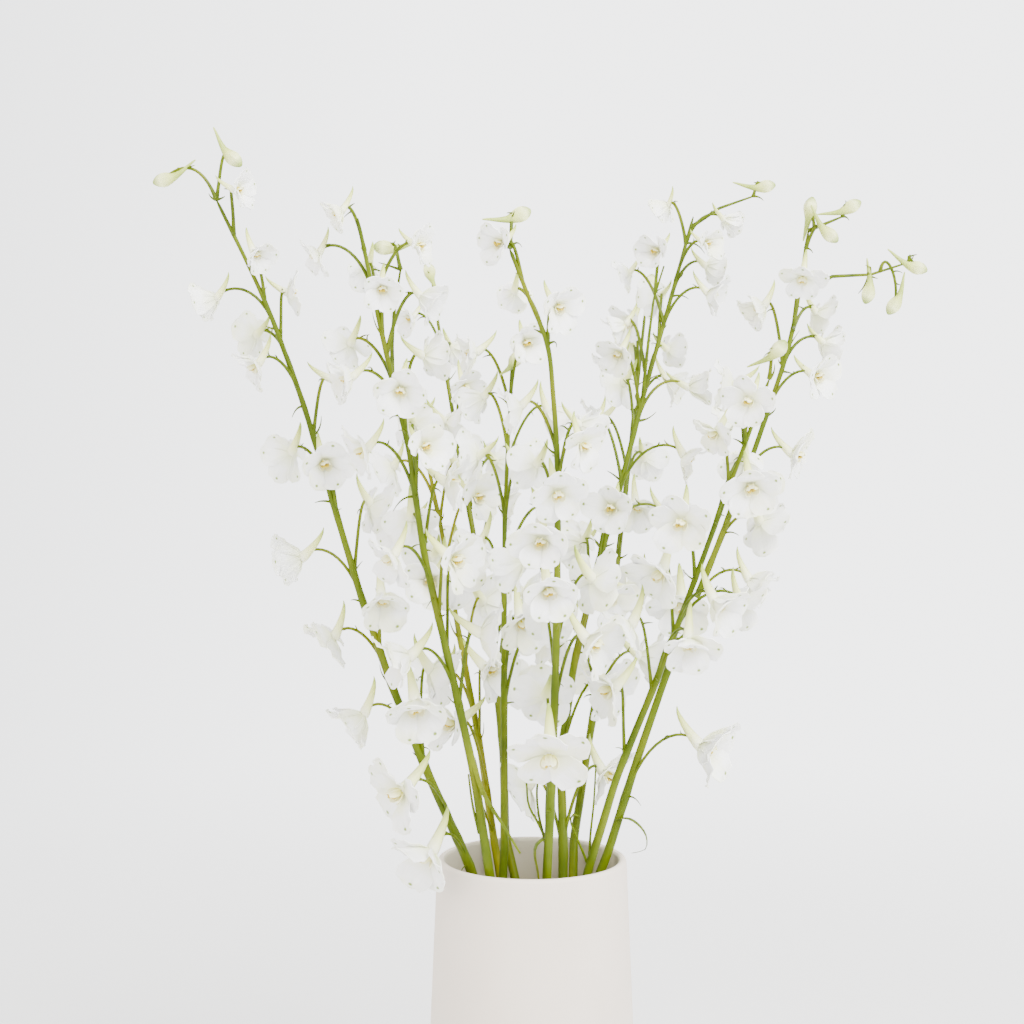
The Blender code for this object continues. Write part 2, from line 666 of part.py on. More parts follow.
def deepest(mine, others, near):
    """The push that clears the closest pair of points."""
    if len(others):
        others = others[(np.abs(others - mine.mean(axis=0)) < PROBE_REACH).all(axis=1)]
    if not len(others):
        return np.zeros(3)
    apart = mine[:, None] - others[None]
    distance = np.sqrt((apart**2).sum(axis=2))
    a, b = divmod(int(distance.argmin()), len(others))
    if distance[a, b] >= near:
        return np.zeros(3)
    return apart[a, b] / max(distance[a, b], 0.01) * (near - distance[a, b])


def root_of(plan, place_at, drop):
    """The point of the stem or its forks that lies nearest to a spot below the floret."""
    return nearest(plan["anchors"], place_at - np.array([0, 0, drop]))


def make_stem(name, plan, florets, home, green, white):
    repeats = collection(name + "_repeats")
    radii = [stem_radius(plan, point[2]) for point in plan["axis"]]
    stem = tube(name, plan["axis"], radii, FIVE_SIDED, home, green)
    for number, axis in enumerate(plan["fork_axes"]):
        tube(f"{name}_fork_{number}", axis, [FORK_RADIUS] * len(axis), FOUR_SIDED, repeats, green)
    for number, floret in enumerate(florets):
        blunt = floret["size"] < BLUNT_UNDER
        place(floret_mesh(floret["cup"], blunt), floret, repeats, white, f"{name}_floret_{number}")
        count = 3 if blunt else 4
        points = pedicel_points(root_of(plan, floret["centre"], FLORET_DROP * floret["size"]), floret, count)
        tube(f"{name}_pedicel_{number}", points, [PEDICEL_RADIUS] * count, THREE_SIDED, repeats, green)
    for number, (x, y, z, side, rise) in enumerate(plan["buds"]):
        spot = np.array([x, y, z], float)
        bud = {"centre": spot, "facing": toward(side, rise), "size": BUD_SIZE, "roll": 0}
        place(bud_mesh(), bud, repeats, green, f"{name}_bud_{number}")
        points = pedicel_points(root_of(plan, bud["centre"], BUD_DROP), bud, 4)
        tube(f"{name}_bud_stalk_{number}", points, [PEDICEL_RADIUS] * 4, THREE_SIDED, repeats, green)
    for number, points in enumerate(STRIPS.get(name, [])):
        points = thinned(smooth_route(points, np.array([0, 0, START_PULL["strip"]])), STRIP_STEP)
        widths = list(np.linspace(1, 1 - STRIP_TAPER, len(points)))
        tube(f"{name}_strip_{number}", points, widths, STRIP, repeats, green)
    joined = stem.modifiers.new("joined", "BOOLEAN")
    joined.operation = "UNION"
    joined.operand_type = "COLLECTION"
    joined.collection = repeats
    joined.solver = "MANIFOLD"
    joined.material_mode = "TRANSFER"
    stem.data = evaluated_mesh(stem)
    stem.modifiers.clear()
    for obj in list(repeats.objects):
        bpy.data.objects.remove(obj, do_unlink=True)
    bpy.data.collections.remove(repeats)
    return stem


def main():
    clear_scene()
    home = collection("delphinium_in_vase")
    cutters = collection("cutters", hidden=True)
    for name, sides in ((FIVE_SIDED, 5), (FOUR_SIDED, 4), (THREE_SIDED, 3)):
        profile_curve(name, round_corners(sides), cutters)
    half_width, half_thick = STRIP_WIDTH / 2, STRIP_THICKNESS / 2
    profile_curve(STRIP, [(-half_width, -half_thick), (half_width, -half_thick), (half_width, half_thick),
                          (-half_width, half_thick)], cutters)
    ceramic = material("off_white_ceramic", (0.80, 0.77, 0.72), 0.75)
    clear_water = material("still_water", (0.82, 0.88, 0.86), 0.05)
    green = material("stem_green", (0.21, 0.30, 0.02), 0.55)
    white = material("sepal_white", (0.88, 0.88, 0.85), 0.6)
    for plan in STEMS.values():
        plan_stem(plan)
    florets = plan_florets(STEMS)
    settle(florets, STEMS)
    make_vase(home, ceramic)
    for name, plan in STEMS.items():
        make_stem(name, plan, [floret for floret in florets if floret["stem"] == name], home, green, white)
    holes = collection("water_holes", hidden=True)
    make_water(home, holes, clear_water, STEMS)


main()
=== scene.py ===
# White delphinium stems standing in a plain ceramic vase.
import math
import random

import bpy
import numpy as np
from mathutils import Matrix, Vector


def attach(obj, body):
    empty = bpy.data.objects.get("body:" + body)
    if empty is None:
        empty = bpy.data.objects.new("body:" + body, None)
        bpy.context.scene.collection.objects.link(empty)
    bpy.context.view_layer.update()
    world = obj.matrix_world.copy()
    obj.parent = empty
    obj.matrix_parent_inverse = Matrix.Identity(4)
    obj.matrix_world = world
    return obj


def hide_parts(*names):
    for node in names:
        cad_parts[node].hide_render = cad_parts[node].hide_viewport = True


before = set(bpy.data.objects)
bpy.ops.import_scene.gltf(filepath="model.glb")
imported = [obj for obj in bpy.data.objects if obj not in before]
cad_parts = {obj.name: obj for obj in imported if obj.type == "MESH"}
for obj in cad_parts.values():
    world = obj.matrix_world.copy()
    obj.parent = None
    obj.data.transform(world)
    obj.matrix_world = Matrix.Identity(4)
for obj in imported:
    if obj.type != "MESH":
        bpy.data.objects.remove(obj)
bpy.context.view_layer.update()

mm = 0.001

# Sizes that the flowers share with the vase, in millimetres: places are planned in millimetres
# and become metres where a piece is made.
bunch = {
    "seed": 7, "gap": 0.3, "vaseHeight": 220, "vaseFloor": 6, "footRadius": 3.4, "tipRadius": 0.8,
    "stemStep": 52, "forkStep": 17, "anchorStep": 3, "floretWidth": 40, "sepals": 5, "hub": 3, "tipLean": 0.8,
    "spurReach": 16.5, "spurRise": 9, "floretDrop": 38, "budDrop": 8, "budSize": 0.9,
    "lowestBloom": 250, "bloomRun": 300, "lowSize": 1.04, "highSize": 0.55, "sizeSway": 0.08,
    "sideSway": 24, "riseRange": (-42, 2), "rollSway": 16, "cups": (14, 28, 42), "highCup": 10,
    "stalkOut": 0.3, "stalkClimb": 0.75, "stalkHook": (8, 7), "stalkSink": 0.2, "stalkSamples": 7,
    "mouthPull": 50, "forkPull": 8, "steep": 0.95, "probeReach": (0.5, 0.85),
}

# More florets climb each stem in a spiral, where the tables leave room.
filling = {"step": 9, "turn": 137.5, "clear": 36, "reach": 21, "inset": 6, "stemGap": 13,
           "outer": ("stem_far_left", "stem_far_right")}

# How far florets keep from each other, from stems and from stalks, and how fast they make room.
roomy = {
    "blades": 8.2, "ownBlades": 6.5, "stems": 6.7, "stalks": 5.0, "share": 0.35, "step": 0.55, "rounds": 140,
    "reach": 60, "limit": 5, "enough": 0.2, "probes": 40,
}

# Each stem runs from its foot on the vase's floor to the mouth, and then along its route to the tip.
# A floret is (height, side, reach), with a fourth number where it nods more. A bud is (x, y, z, side, rise).
stems = {
    "stem_far_left": {
        "foot": (39, 17), "mouth": (-31, -18), "bloom": (1.0, 1.0),
        "route": [(-53, -22, 271), (-74, -26, 326), (-91, -31, 382), (-107, -35, 440), (-126, -40, 495),
                  (-149, -44, 544)],
        "florets": [(231, 230, 21), (262, 235, 24), (297, 195, 20), (305, 295, 24), (334, 170, 21),
                    (357, 300, 24), (374, 180, 23), (421, 280, 20), (424, 140, 19), (467, 210, 16),
                    (481, 135, 17), (498, 180, 23), (460, 20, 18), (399, 35, 21), (548, 325, 12),
                    (318, 10, 22)],
        "buds": [(-174, -44, 553, 180, -10), (-141, -42, 563, 350, -35)],
    },
    "stem_left_front": {
        "foot": (3, 21), "mouth": (-21, -32), "bloom": (1.0, 1.0),
        "route": [(-33, -44, 298), (-45, -54, 345), (-54, -64, 396), (-60, -74, 444), (-70, -83, 484),
                  (-80, -89, 518), (-79, -93, 532)],
        "forks": [[(-63, -77, 460), (-65, -72, 481), (-63, -72, 500), (-61, -73, 510)]],
        "florets": [(456, 280, 23), (461, 205, 20), (476, 150, 19), (501, 295, 12), (535, 180, 8),
                    (517, 170, 21), (520, 0, 24), (497, 350, 22), (471, 15, 17), (378, 305, 24),
                    (428, 195, 20), (379, 230, 21), (331, 215, 20)],
        "buds": [(-69, -70, 520, 200, 10)],
    },
    "stem_left_back": {
        "foot": (18, 7), "mouth": (-19, 29), "bloom": (1.0, 1.0),
        "route": [(-27, 38, 272), (-39, 51, 333), (-49, 62, 390), (-59, 71, 436)],
        "florets": [(398, 340, 23), (437, 0, 14), (342, 30, 18), (311, 310, 18), (284, 240, 20),
                    (413, 30, 18), (412, 150, 23), (365, 110, 22), (383, 200, 20)],
        "buds": [(-62, 76, 450, 130, 40)],
    },
    "stem_centre": {
        "foot": (-26, -16), "mouth": (-14, 5), "bloom": (1.0, 1.0),
        "route": [(-14, 13, 298), (-14, 20, 360), (-13, 27, 420), (-11, 30, 448)],
        "florets": [(473, 195, 18), (478, 300, 16), (418, 300, 18), (450, 150, 16), (392, 15, 22),
                    (375, 135, 18), (340, 295, 20), (330, 20, 20), (443, 350, 20)],
        "buds": [(-8, 34, 470, 60, 50)],
    },
    "stem_centre_front": {
        "foot": (2, -6), "mouth": (7, -35), "bloom": (1.08, 0.9),
        "route": [(10, -52, 296), (11, -72, 370), (11, -86, 417), (8, -95, 455), (6, -102, 480),
                  (-1, -110, 496), (-11, -118, 517)],
        "florets": [(519, 245, 8), (499, 110, 15), (492, 305, 18), (432, 300, 22), (410, 268, 20),
                    (366, 260, 27), (307, 100, 18), (286, 265, 24, 38), (336, 345, 20), (388, 250, 22)],
        "buds": [(-6, -114, 532, 20, 30)],
    },
    "stem_right_back": {
        "foot": (12, -36), "mouth": (16, 10), "bloom": (1.0, 1.0),
        "route": [(16, 26, 280), (31, 41, 350), (46, 51, 402), (60, 61, 455), (72, 69, 494),
                  (77, 75, 528), (86, 79, 545)],
        "forks": [[(58, 60, 448), (61, 54, 480), (65, 56, 509), (69, 57, 518)],
                  [(84, 78, 541), (96, 81, 549), (109, 81, 550), (118, 82, 556)]],
        "florets": [(551, 160, 14), (524, 225, 17), (546, 10, 15), (504, 338, 20), (530, 300, 18),
                    (515, 175, 26), (488, 195, 21), (473, 225, 28), (455, 15, 24), (420, 340, 30),
                    (389, 5, 28), (373, 120, 20), (349, 35, 24), (250, 150, 20), (436, 185, 22)],
        "buds": [(125, 82, 561, 0, 15)],
    },
    "stem_right_front": {
        "foot": (-27, -2), "mouth": (28, -21), "bloom": (1.0, 1.0),
        "route": [(46, -32, 282), (66, -42, 332), (86, -54, 394), (100, -62, 432), (109, -66, 460)],
        "florets": [(313, 200, 22), (341, 205, 27), (338, 285, 21), (370, 205, 20), (395, 225, 26),
                    (436, 205, 18), (457, 180, 16), (451, 250, 24), (354, 0, 24), (356, 315, 18)],
        "buds": [(113, -70, 474, 330, 50)],
    },
    "stem_far_right": {
        "foot": (-41, 11), "mouth": (38, 5), "bloom": (1.0, 1.0),
        "route": [(58, 8, 283), (82, 11, 350), (102, 14, 395), (121, 17, 451), (133, 19, 488),
                  (137, 21, 515), (139, 22, 534)],
        "forks": [[(136, 20, 500), (145, 21, 508), (157, 21, 513), (172, 21, 512), (182, 21, 516),
                   (189, 21, 518)],
                  [(139, 22, 533), (144, 22, 538), (151, 22, 538), (156, 22, 541)]],
        "florets": [(277, 340, 30), (359, 350, 23), (387, 25, 20), (422, 0, 20), (462, 335, 16),
                    (478, 20, 18), (496, 195, 18), (510, 265, 16), (493, 45, 18), (404, 290, 19)],
        "buds": [(140, 22, 546, 20, 80), (149, 16, 531, 0, -35), (161, 22, 546, 0, 35),
                 (169, 21, 502, 200, -70), (182, 21, 496, 185, -50), (194, 21, 515, 0, -10)],
    },
    "stem_back_left": {
        "foot": (38, -15), "mouth": (-13, 38), "bloom": (1.0, 1.0),
        "route": [(-16, 56, 284), (-26, 76, 350), (-38, 97, 415), (-48, 115, 474), (-53, 124, 503)],
        "florets": [(298, 70, 26), (322, 60, 24), (346, 345, 22), (368, 120, 24), (392, 340, 20),
                    (414, 30, 22), (436, 165, 22), (456, 300, 18), (476, 75, 18), (493, 210, 15)],
        "buds": [(-56, 128, 519, 110, 60)],
    },
    "stem_back_right": {
        "foot": (16, -28), "mouth": (22, 32), "bloom": (1.0, 1.0),
        "route": [(32, 50, 280), (44, 73, 345), (53, 97, 410), (60, 117, 466), (64, 128, 497)],
        "florets": [(304, 95, 26), (326, 195, 24), (348, 10, 24), (371, 150, 22), (393, 285, 20),
                    (415, 65, 22), (437, 200, 20), (458, 335, 18), (475, 100, 18), (490, 240, 15)],
        "buds": [(67, 133, 513, 60, 60)],
    },
}

# Narrow leaves that curl at the mouth, as points in millimetres.
strips = {
    "stem_left_front": [[(-29, -40, 278), (-24, -43, 262), (-14, -46, 246), (-6, -47, 233)]],
    "stem_centre_front": [[(8, -37, 239), (2, -39, 236), (1, -39.5, 230), (2.5, -39.5, 222), (3, -39, 212),
                           (1, -38, 203)]],
    "stem_far_right": [[(43, 5, 238), (50, 1, 239), (57, 0, 232), (57, 0, 224), (50, 0, 222)]],
}


def unit(vector):
    return vector / np.linalg.norm(vector)


def toward(side, rise):
    # The direction that points to a compass side and rises from the horizontal, both in degrees.
    side, rise = math.radians(side), math.radians(rise)
    return np.array([math.cos(side) * math.cos(rise), math.sin(side) * math.cos(rise), math.sin(rise)])


def smoothRoute(points, start):
    # A smooth curve through the points, leaving the first along start, as closely spaced points.
    points = [np.array(point, float) for point in points]
    around = [points[0] - start, *points, 2 * points[-1] - points[-2]]
    curve = []
    for a, b, c, d in zip(around, around[1:], around[2:], around[3:]):
        count = max(2, round(float(np.linalg.norm(c - b)) / bunch["anchorStep"]))
        for t in np.linspace(0, 1, count, endpoint=False):
            bend, twist = 2 * a - 5 * b + 4 * c - d, 3 * b - a - 3 * c + d
            curve.append(0.5 * (2 * b + (c - a) * t + bend * t**2 + twist * t**3))
    curve.append(points[-1])
    return np.array(curve)


def thinned(curve, step):
    # Points of the curve about one step apart, with both its ends.
    run = np.concatenate([[0], np.cumsum(np.linalg.norm(np.diff(curve, axis=0), axis=1))])
    count = max(2, round(run[-1] / step) + 1)
    spots = np.linspace(0, run[-1], count)
    return np.array([[np.interp(at, run, curve[:, i]) for i in range(3)] for at in spots])


def stemThickness(plan, height):
    # The stem tapers evenly from its foot to its own tip.
    share = min(1.0, max(0.0, height / plan["route"][-1][2]))
    return bunch["footRadius"] + (bunch["tipRadius"] - bunch["footRadius"]) * share


def nearest(points, target):
    return points[int(((points - target)**2).sum(axis=1).argmin())]


def planStem(plan):
    # Adds the stem's axis, its forks' axes and all the points that florets may hang from.
    foot = np.array([*plan["foot"], bunch["vaseFloor"]], float)
    mouth = np.array([*plan["mouth"], bunch["vaseHeight"]], float)
    lean = float(np.linalg.norm((mouth - foot)[:2])) / bunch["vaseHeight"]
    foot[2] = bunch["vaseFloor"] + bunch["gap"] + bunch["footRadius"] * lean
    route = smoothRoute([mouth, *plan["route"]], unit(mouth - foot) * bunch["mouthPull"])
    above = thinned(route, bunch["stemStep"])
    plan["axis"] = np.concatenate([[foot], above])
    plan["above"] = thinned(above, bunch["anchorStep"])
    plan["forkAxes"] = []
    for fork in plan.get("forks", []):
        root = nearest(plan["above"], np.array(fork[0]))
        branch = smoothRoute([root, *fork[1:]], np.array([0, 0, bunch["forkPull"]]))
        plan["forkAxes"].append(thinned(branch, bunch["forkStep"]))
    forks = [thinned(axis, bunch["anchorStep"]) for axis in plan["forkAxes"]]
    plan["anchors"] = np.concatenate([plan["above"], *forks])


def pedicelPoints(root, floret, count):
    # The thin stalk climbs beside its stem, and hooks over to meet the floret from behind.
    size, (back, over) = floret["size"], bunch["stalkHook"]
    end = floret["centre"] + floret["facing"] * bunch["stalkSink"] * size
    away = (end - root) * np.array([1, 1, 0])
    length = float(np.linalg.norm(end - root))
    first = root + away * bunch["stalkOut"] + np.array([0, 0, length * bunch["stalkClimb"]])
    second = end - floret["facing"] * back * size + np.array([0, 0, over * size])
    points = []
    for t in np.linspace(0, 1, count):
        s = 1 - t
        points.append(s**3 * root + 3 * s**2 * t * first + 3 * s * t**2 * second + t**3 * end)
    return points


def frameOf(floret):
    # The floret's own axes as columns: across, up (where its spur climbs) and facing.
    facing = floret["facing"]
    upright = np.array([0, 0, 1]) if abs(facing[2]) < bunch["steep"] else np.array([0, 1, 0])
    across = unit(np.cross(upright, facing))
    up = np.cross(facing, across)
    roll = math.radians(floret["roll"])
    turned = across * math.cos(roll) + up * math.sin(roll)
    return np.array([turned, np.cross(facing, turned), facing]).T


def onStem(plan, height):
    above = plan["above"]
    return np.array([*[np.interp(height, above[:, 2], above[:, i]) for i in range(2)], height])


def usualSize(height):
    share = min(1.0, max(0.0, (height - bunch["lowestBloom"]) / bunch["bloomRun"]))
    return share, float(np.interp(share, (0, 1), (bunch["lowSize"], bunch["highSize"])))


def planFloret(name, plan, spot, draw):
    # One floret at a spot of its stem: middle, facing, size and openness, with small seeded differences.
    height, side, reach, *nod = spot
    aim = side + draw.uniform(-bunch["sideSway"], bunch["sideSway"])
    facing = toward(aim, draw.uniform(*bunch["riseRange"]) - sum(nod))
    share, usual = usualSize(height)
    sizeBy = draw.uniform(1 - bunch["sizeSway"], 1 + bunch["sizeSway"])
    return {
        "stem": name, "centre": onStem(plan, height) + toward(side, 0) * reach, "facing": facing,
        "size": np.interp(share, (0, 1), plan["bloom"]) * usual * sizeBy,
        "roll": draw.uniform(-bunch["rollSway"], bunch["rollSway"]),
        "cup": draw.choice(bunch["cups"]) + bunch["highCup"] * share,
    }


def planFlorets(stems):
    draw = random.Random(bunch["seed"])
    florets = []
    for name, plan in stems.items():
        florets += [planFloret(name, plan, spot, draw) for spot in plan["florets"]]
    left, right = [stems[name] for name in filling["outer"]]
    for name, plan in stems.items():
        heights = [spot[0] for spot in plan["florets"]]
        strangers = joined([other["anchors"] for other in stems.values() if other is not plan])
        climb = np.arange(min(heights) + filling["step"], max(heights), filling["step"])
        for turn, height in enumerate(climb):
            size = usualSize(height)[1]
            side = turn * filling["turn"] % 360
            spot = onStem(plan, height) + toward(side, 0) * filling["reach"] * size
            inset = filling["inset"]
            inside = onStem(left, height)[0] + inset < spot[0] < onStem(right, height)[0] - inset
            near = min(float(np.linalg.norm(spot - other["centre"])) for other in florets)
            beside = float(np.linalg.norm(strangers - spot, axis=1).min())
            if inside and near > filling["clear"] * size and beside > filling["stemGap"]:
                florets.append(planFloret(name, plan, (height, side, filling["reach"] * size), draw))
    return florets


def probes(floret):
    # Points that stand for the floret's sepals, middle and spur.
    half, spurUp, spurBack = bunch["floretWidth"] / 2, bunch["spurRise"], -bunch["spurReach"]
    lean = math.radians(floret["cup"] * bunch["tipLean"])
    local = [(0, 0, 0), (0, spurUp * 0.5, spurBack * 0.5), (0, spurUp, spurBack)]
    for index in range(bunch["sepals"]):
        turn = math.radians(90 + 360 / bunch["sepals"] * index)
        for reach in bunch["probeReach"]:
            out = half * reach * math.cos(lean)
            local.append((math.cos(turn) * out, math.sin(turn) * out, half * reach * math.sin(lean)))
    axes = frameOf(floret) * floret["size"]
    return np.array([axes[:, 0] * x + axes[:, 1] * y + axes[:, 2] * z for x, y, z in local])


def stalkOf(floret, plan):
    # Points along the floret's pedicel, clear of both its ends.
    root = rootOf(plan, floret["centre"], bunch["floretDrop"] * floret["size"])
    return np.array(pedicelPoints(root, floret, bunch["stalkSamples"])[2:-1])


def settle(florets, stems):
    # Moves florets apart, and off the stems and each other's stalks, toward the clearances named above.
    for floret in florets:
        floret["probes"] = probes(floret)
        floret["stalk"] = stalkOf(floret, stems[floret["stem"]])
    for _ in range(roomy["rounds"]):
        most = 0.0
        for floret in florets:
            blades, stalk = floret["probes"] + floret["centre"], floret["stalk"]
            near = [other for other in florets if other is not floret
                    and np.abs(other["centre"] - floret["centre"]).max() < roomy["reach"]]
            same = [other for other in near if other["stem"] == floret["stem"]]
            foreign = [other for other in near if other["stem"] != floret["stem"]]
            stalks = joined([other["stalk"] for other in near])
            otherStems = joined([plan["anchors"] for name, plan in stems.items() if name != floret["stem"]])
            foreignBlades = joined([other["probes"] + other["centre"] for other in foreign])
            ownBlades = joined([other["probes"] + other["centre"] for other in same])
            otherBlades = joined([foreignBlades, ownBlades])
            room = roomy["share"] + (1 - roomy["share"]) * floret["size"]
            push = np.zeros(3)
            for others, gap in ((foreignBlades, roomy["blades"]), (ownBlades, roomy["ownBlades"]),
                                (stalks, roomy["stalks"]), (otherStems, roomy["stems"]),
                                (stems[floret["stem"]]["anchors"], roomy["stems"])):
                push = push + deepest(blades, others, gap * room)
            push = push + deepest(stalk, otherBlades, roomy["stalks"])
            push = push + deepest(stalk, otherStems, roomy["stalks"])
            push = push + deepest(stalk, stalks, roomy["stalks"] / 2)
            length = float(np.linalg.norm(push))
            most = max(most, length)
            if length > 0:
                step = push * roomy["step"] * min(1.0, roomy["limit"] / length)
                floret["centre"] = np.round(floret["centre"] + step, 2)
                floret["stalk"] = stalkOf(floret, stems[floret["stem"]])
        if most < roomy["enough"]:
            break
    for floret in florets:
        floret["centre"] = np.round(floret["centre"], 1)


def joined(groups):
    return np.concatenate([*groups, np.zeros((0, 3))])


def deepest(mine, others, near):
    # The push that clears the closest pair of points.
    if len(others):
        others = others[(np.abs(others - mine.mean(axis=0)) < roomy["probes"]).all(axis=1)]
    if not len(others):
        return np.zeros(3)
    apart = mine[:, None] - others[None]
    distance = np.sqrt((apart**2).sum(axis=2))
    a, b = divmod(int(distance.argmin()), len(others))
    if distance[a, b] >= near:
        return np.zeros(3)
    return apart[a, b] / max(distance[a, b], 0.01) * (near - distance[a, b])


def rootOf(plan, placeAt, drop):
    # The point of the stem or its forks that lies nearest to a spot below the floret.
    return nearest(plan["anchors"], placeAt - np.array([0, 0, drop]))


def deselectAll():
    if bpy.context.object and bpy.context.object.mode != "OBJECT":
        bpy.ops.object.mode_set(mode="OBJECT")
    bpy.ops.object.select_all(action="DESELECT")


def activate(piece):
    deselectAll()
    piece.select_set(True)
    bpy.context.view_layer.objects.active = piece


def editAll(piece):
    activate(piece)
    bpy.ops.object.mode_set(mode="EDIT")
    bpy.ops.mesh.select_mode(type="VERT")
    bpy.ops.mesh.select_all(action="SELECT")


def pickPoints(piece, chosen):
    # selects the points that pass the test, and goes into edit mode
    bpy.ops.object.mode_set(mode="OBJECT")
    for part in (piece.data.vertices, piece.data.edges, piece.data.polygons):
        part.foreach_set("select", [False] * len(part))
    for point in piece.data.vertices:
        point.select = chosen(point)
    bpy.ops.object.mode_set(mode="EDIT")


def applyAll(piece):
    activate(piece)
    for modifier in list(piece.modifiers):
        bpy.ops.object.modifier_apply(modifier=modifier.name)


def smoothPiece(piece, angle=180):
    activate(piece)
    bpy.ops.object.shade_smooth_by_angle(angle=math.radians(angle))


def wear(piece, *finishes):
    piece.data.materials.clear()
    for finish in finishes:
        piece.data.materials.append(finish)
    return piece


def copyAt(source, matrix):
    # a copy with its own mesh, whose place goes into the mesh
    made = source.copy()
    made.data = source.data.copy()
    made.data.transform(matrix)
    bpy.context.collection.objects.link(made)
    return made


def joinAs(name, pieces):
    deselectAll()
    for piece in pieces:
        piece.select_set(True)
    bpy.context.view_layer.objects.active = pieces[0]
    if len(pieces) > 1:
        bpy.ops.object.join()
    made = bpy.context.object
    made.name = made.data.name = name
    return made


def drop(*pieces):
    for piece in pieces:
        bpy.data.objects.remove(piece, do_unlink=True)


def markAlong(piece, share):
    # a number from 0 to 1 at each point, which the finish reads as "along"
    values = [min(1.0, max(0.0, share(point.co / mm))) for point in piece.data.vertices]
    piece.data.attributes.new("along", "FLOAT", "POINT").data.foreach_set("value", values)


# Finishes

def makeGroup(name, inputs, outputs):
    group = bpy.data.node_groups.new(name, "ShaderNodeTree")
    for label, kind, value in inputs:
        socket = group.interface.new_socket(name=label, in_out="INPUT", socket_type=kind)
        if value is not None:
            socket.default_value = value
    for label, kind in outputs:
        group.interface.new_socket(name=label, in_out="OUTPUT", socket_type=kind)
    return group, group.nodes.new("NodeGroupInput"), group.nodes.new("NodeGroupOutput")


def mapRange(tree, value, low, high, toLow=0.0, toHigh=1.0):
    node = tree.nodes.new("ShaderNodeMapRange")
    tree.links.new(value, node.inputs["Value"])
    for label, number in (("From Min", low), ("From Max", high), ("To Min", toLow), ("To Max", toHigh)):
        node.inputs[label].default_value = number
    return node.outputs["Result"]


def mathNode(tree, operation, first, second=None):
    node = tree.nodes.new("ShaderNodeMath")
    node.operation = operation
    for socket, value in zip(node.inputs, (first, second)):
        if value is None:
            continue
        if isinstance(value, (int, float)):
            socket.default_value = value
        else:
            tree.links.new(value, socket)
    return node.outputs["Value"]


def mixColours(tree, factor, first, second):
    node = tree.nodes.new("ShaderNodeMix")
    node.data_type = "RGBA"
    for socket, value in zip((node.inputs[0], node.inputs[6], node.inputs[7]), (factor, first, second)):
        if isinstance(value, tuple):
            socket.default_value = (*value, 1)
        elif isinstance(value, (int, float)):
            socket.default_value = value
        else:
            tree.links.new(value, socket)
    return node.outputs[2]


def makeMottleGroup():
    # soft patches, or streaks where Stretch draws them out
    group, start, end = makeGroup(
        "softMottle",
        [("Vector", "NodeSocketVector", None), ("Stretch", "NodeSocketVector", (1, 1, 1)),
         ("Scale", "NodeSocketFloat", 60.0), ("Contrast", "NodeSocketFloat", 1.0)],
        [("Mask", "NodeSocketFloat")],
    )
    stretched = group.nodes.new("ShaderNodeMapping")
    group.links.new(start.outputs["Vector"], stretched.inputs["Vector"])
    group.links.new(start.outputs["Stretch"], stretched.inputs["Scale"])
    noise = group.nodes.new("ShaderNodeTexNoise")
    noise.inputs["Detail"].default_value = 3
    group.links.new(stretched.outputs["Vector"], noise.inputs["Vector"])
    group.links.new(start.outputs["Scale"], noise.inputs["Scale"])
    centred = mathNode(group, "SUBTRACT", noise.outputs["Fac"], 0.5)
    spread = mathNode(group, "MULTIPLY", centred, start.outputs["Contrast"])
    shifted = mathNode(group, "ADD", mathNode(group, "MULTIPLY", spread, 2.2), 0.5)
    clamped = group.nodes.new("ShaderNodeClamp")
    group.links.new(shifted, clamped.inputs["Value"])
    group.links.new(clamped.outputs["Result"], end.inputs["Mask"])
    return group


def startFinish(name, roughness, **sockets):
    finish = bpy.data.materials.new(name)
    finish.use_nodes = True
    tree = finish.node_tree
    shader = tree.nodes["Principled BSDF"]
    shader.inputs["Roughness"].default_value = roughness
    for label, value in sockets.items():
        shader.inputs[label.replace("_", " ")].default_value = value
    return finish, tree, shader


def mottle(tree, vector, stretch=(1, 1, 1), scale=60.0, contrast=1.0):
    node = tree.nodes.new("ShaderNodeGroup")
    node.node_tree = bpy.data.node_groups["softMottle"]
    tree.links.new(vector, node.inputs["Vector"])
    node.inputs["Stretch"].default_value = stretch
    node.inputs["Scale"].default_value = scale
    node.inputs["Contrast"].default_value = contrast
    return node.outputs["Mask"]


def addBump(tree, shader, height, strength, distance):
    bump = tree.nodes.new("ShaderNodeBump")
    bump.inputs["Strength"].default_value = strength
    bump.inputs["Distance"].default_value = distance
    tree.links.new(height, bump.inputs["Height"])
    tree.links.new(bump.outputs["Normal"], shader.inputs["Normal"])


def objectPlace(tree):
    return tree.nodes.new("ShaderNodeTexCoord").outputs["Object"]


def heightOf(tree, place):
    split = tree.nodes.new("ShaderNodeSeparateXYZ")
    tree.links.new(place, split.inputs["Vector"])
    return split.outputs["Z"]


# In the looks below, a mottle is its stretch, scale and contrast. A range is what it maps from and to.
ceramicLook = {
    # the two inside colours are painted shade with a painted greenish reflection, darkening between the two
    # heights given
    "light": (0.68, 0.605, 0.525), "dark": (0.61, 0.53, 0.445), "insidePaintedShadeHigh": (0.52, 0.48, 0.37),
    "insidePaintedShadeLow": (0.20, 0.155, 0.06), "speck": (0.55, 0.49, 0.40), "patches": ((1, 1, 0.6), 16, 1.1),
    "specks": ((1, 1, 1), 900, 1.0), "speckRange": (0.72, 0.95, 0, 0.22), "paintedShadeDeepening": (0.222, 0.17),
    "rings": ((0.05, 0.05, 1), 260, 1.0), "grain": 0.10, "ringDepth": 0.12, "pits": 0.5, "pitScale": 46,
    "pitShare": 0.72, "pitEdge": (0.05, 0.11, 1, 0), "roughness": (0.56, 0.70), "relief": (0.35, 0.0006),
}


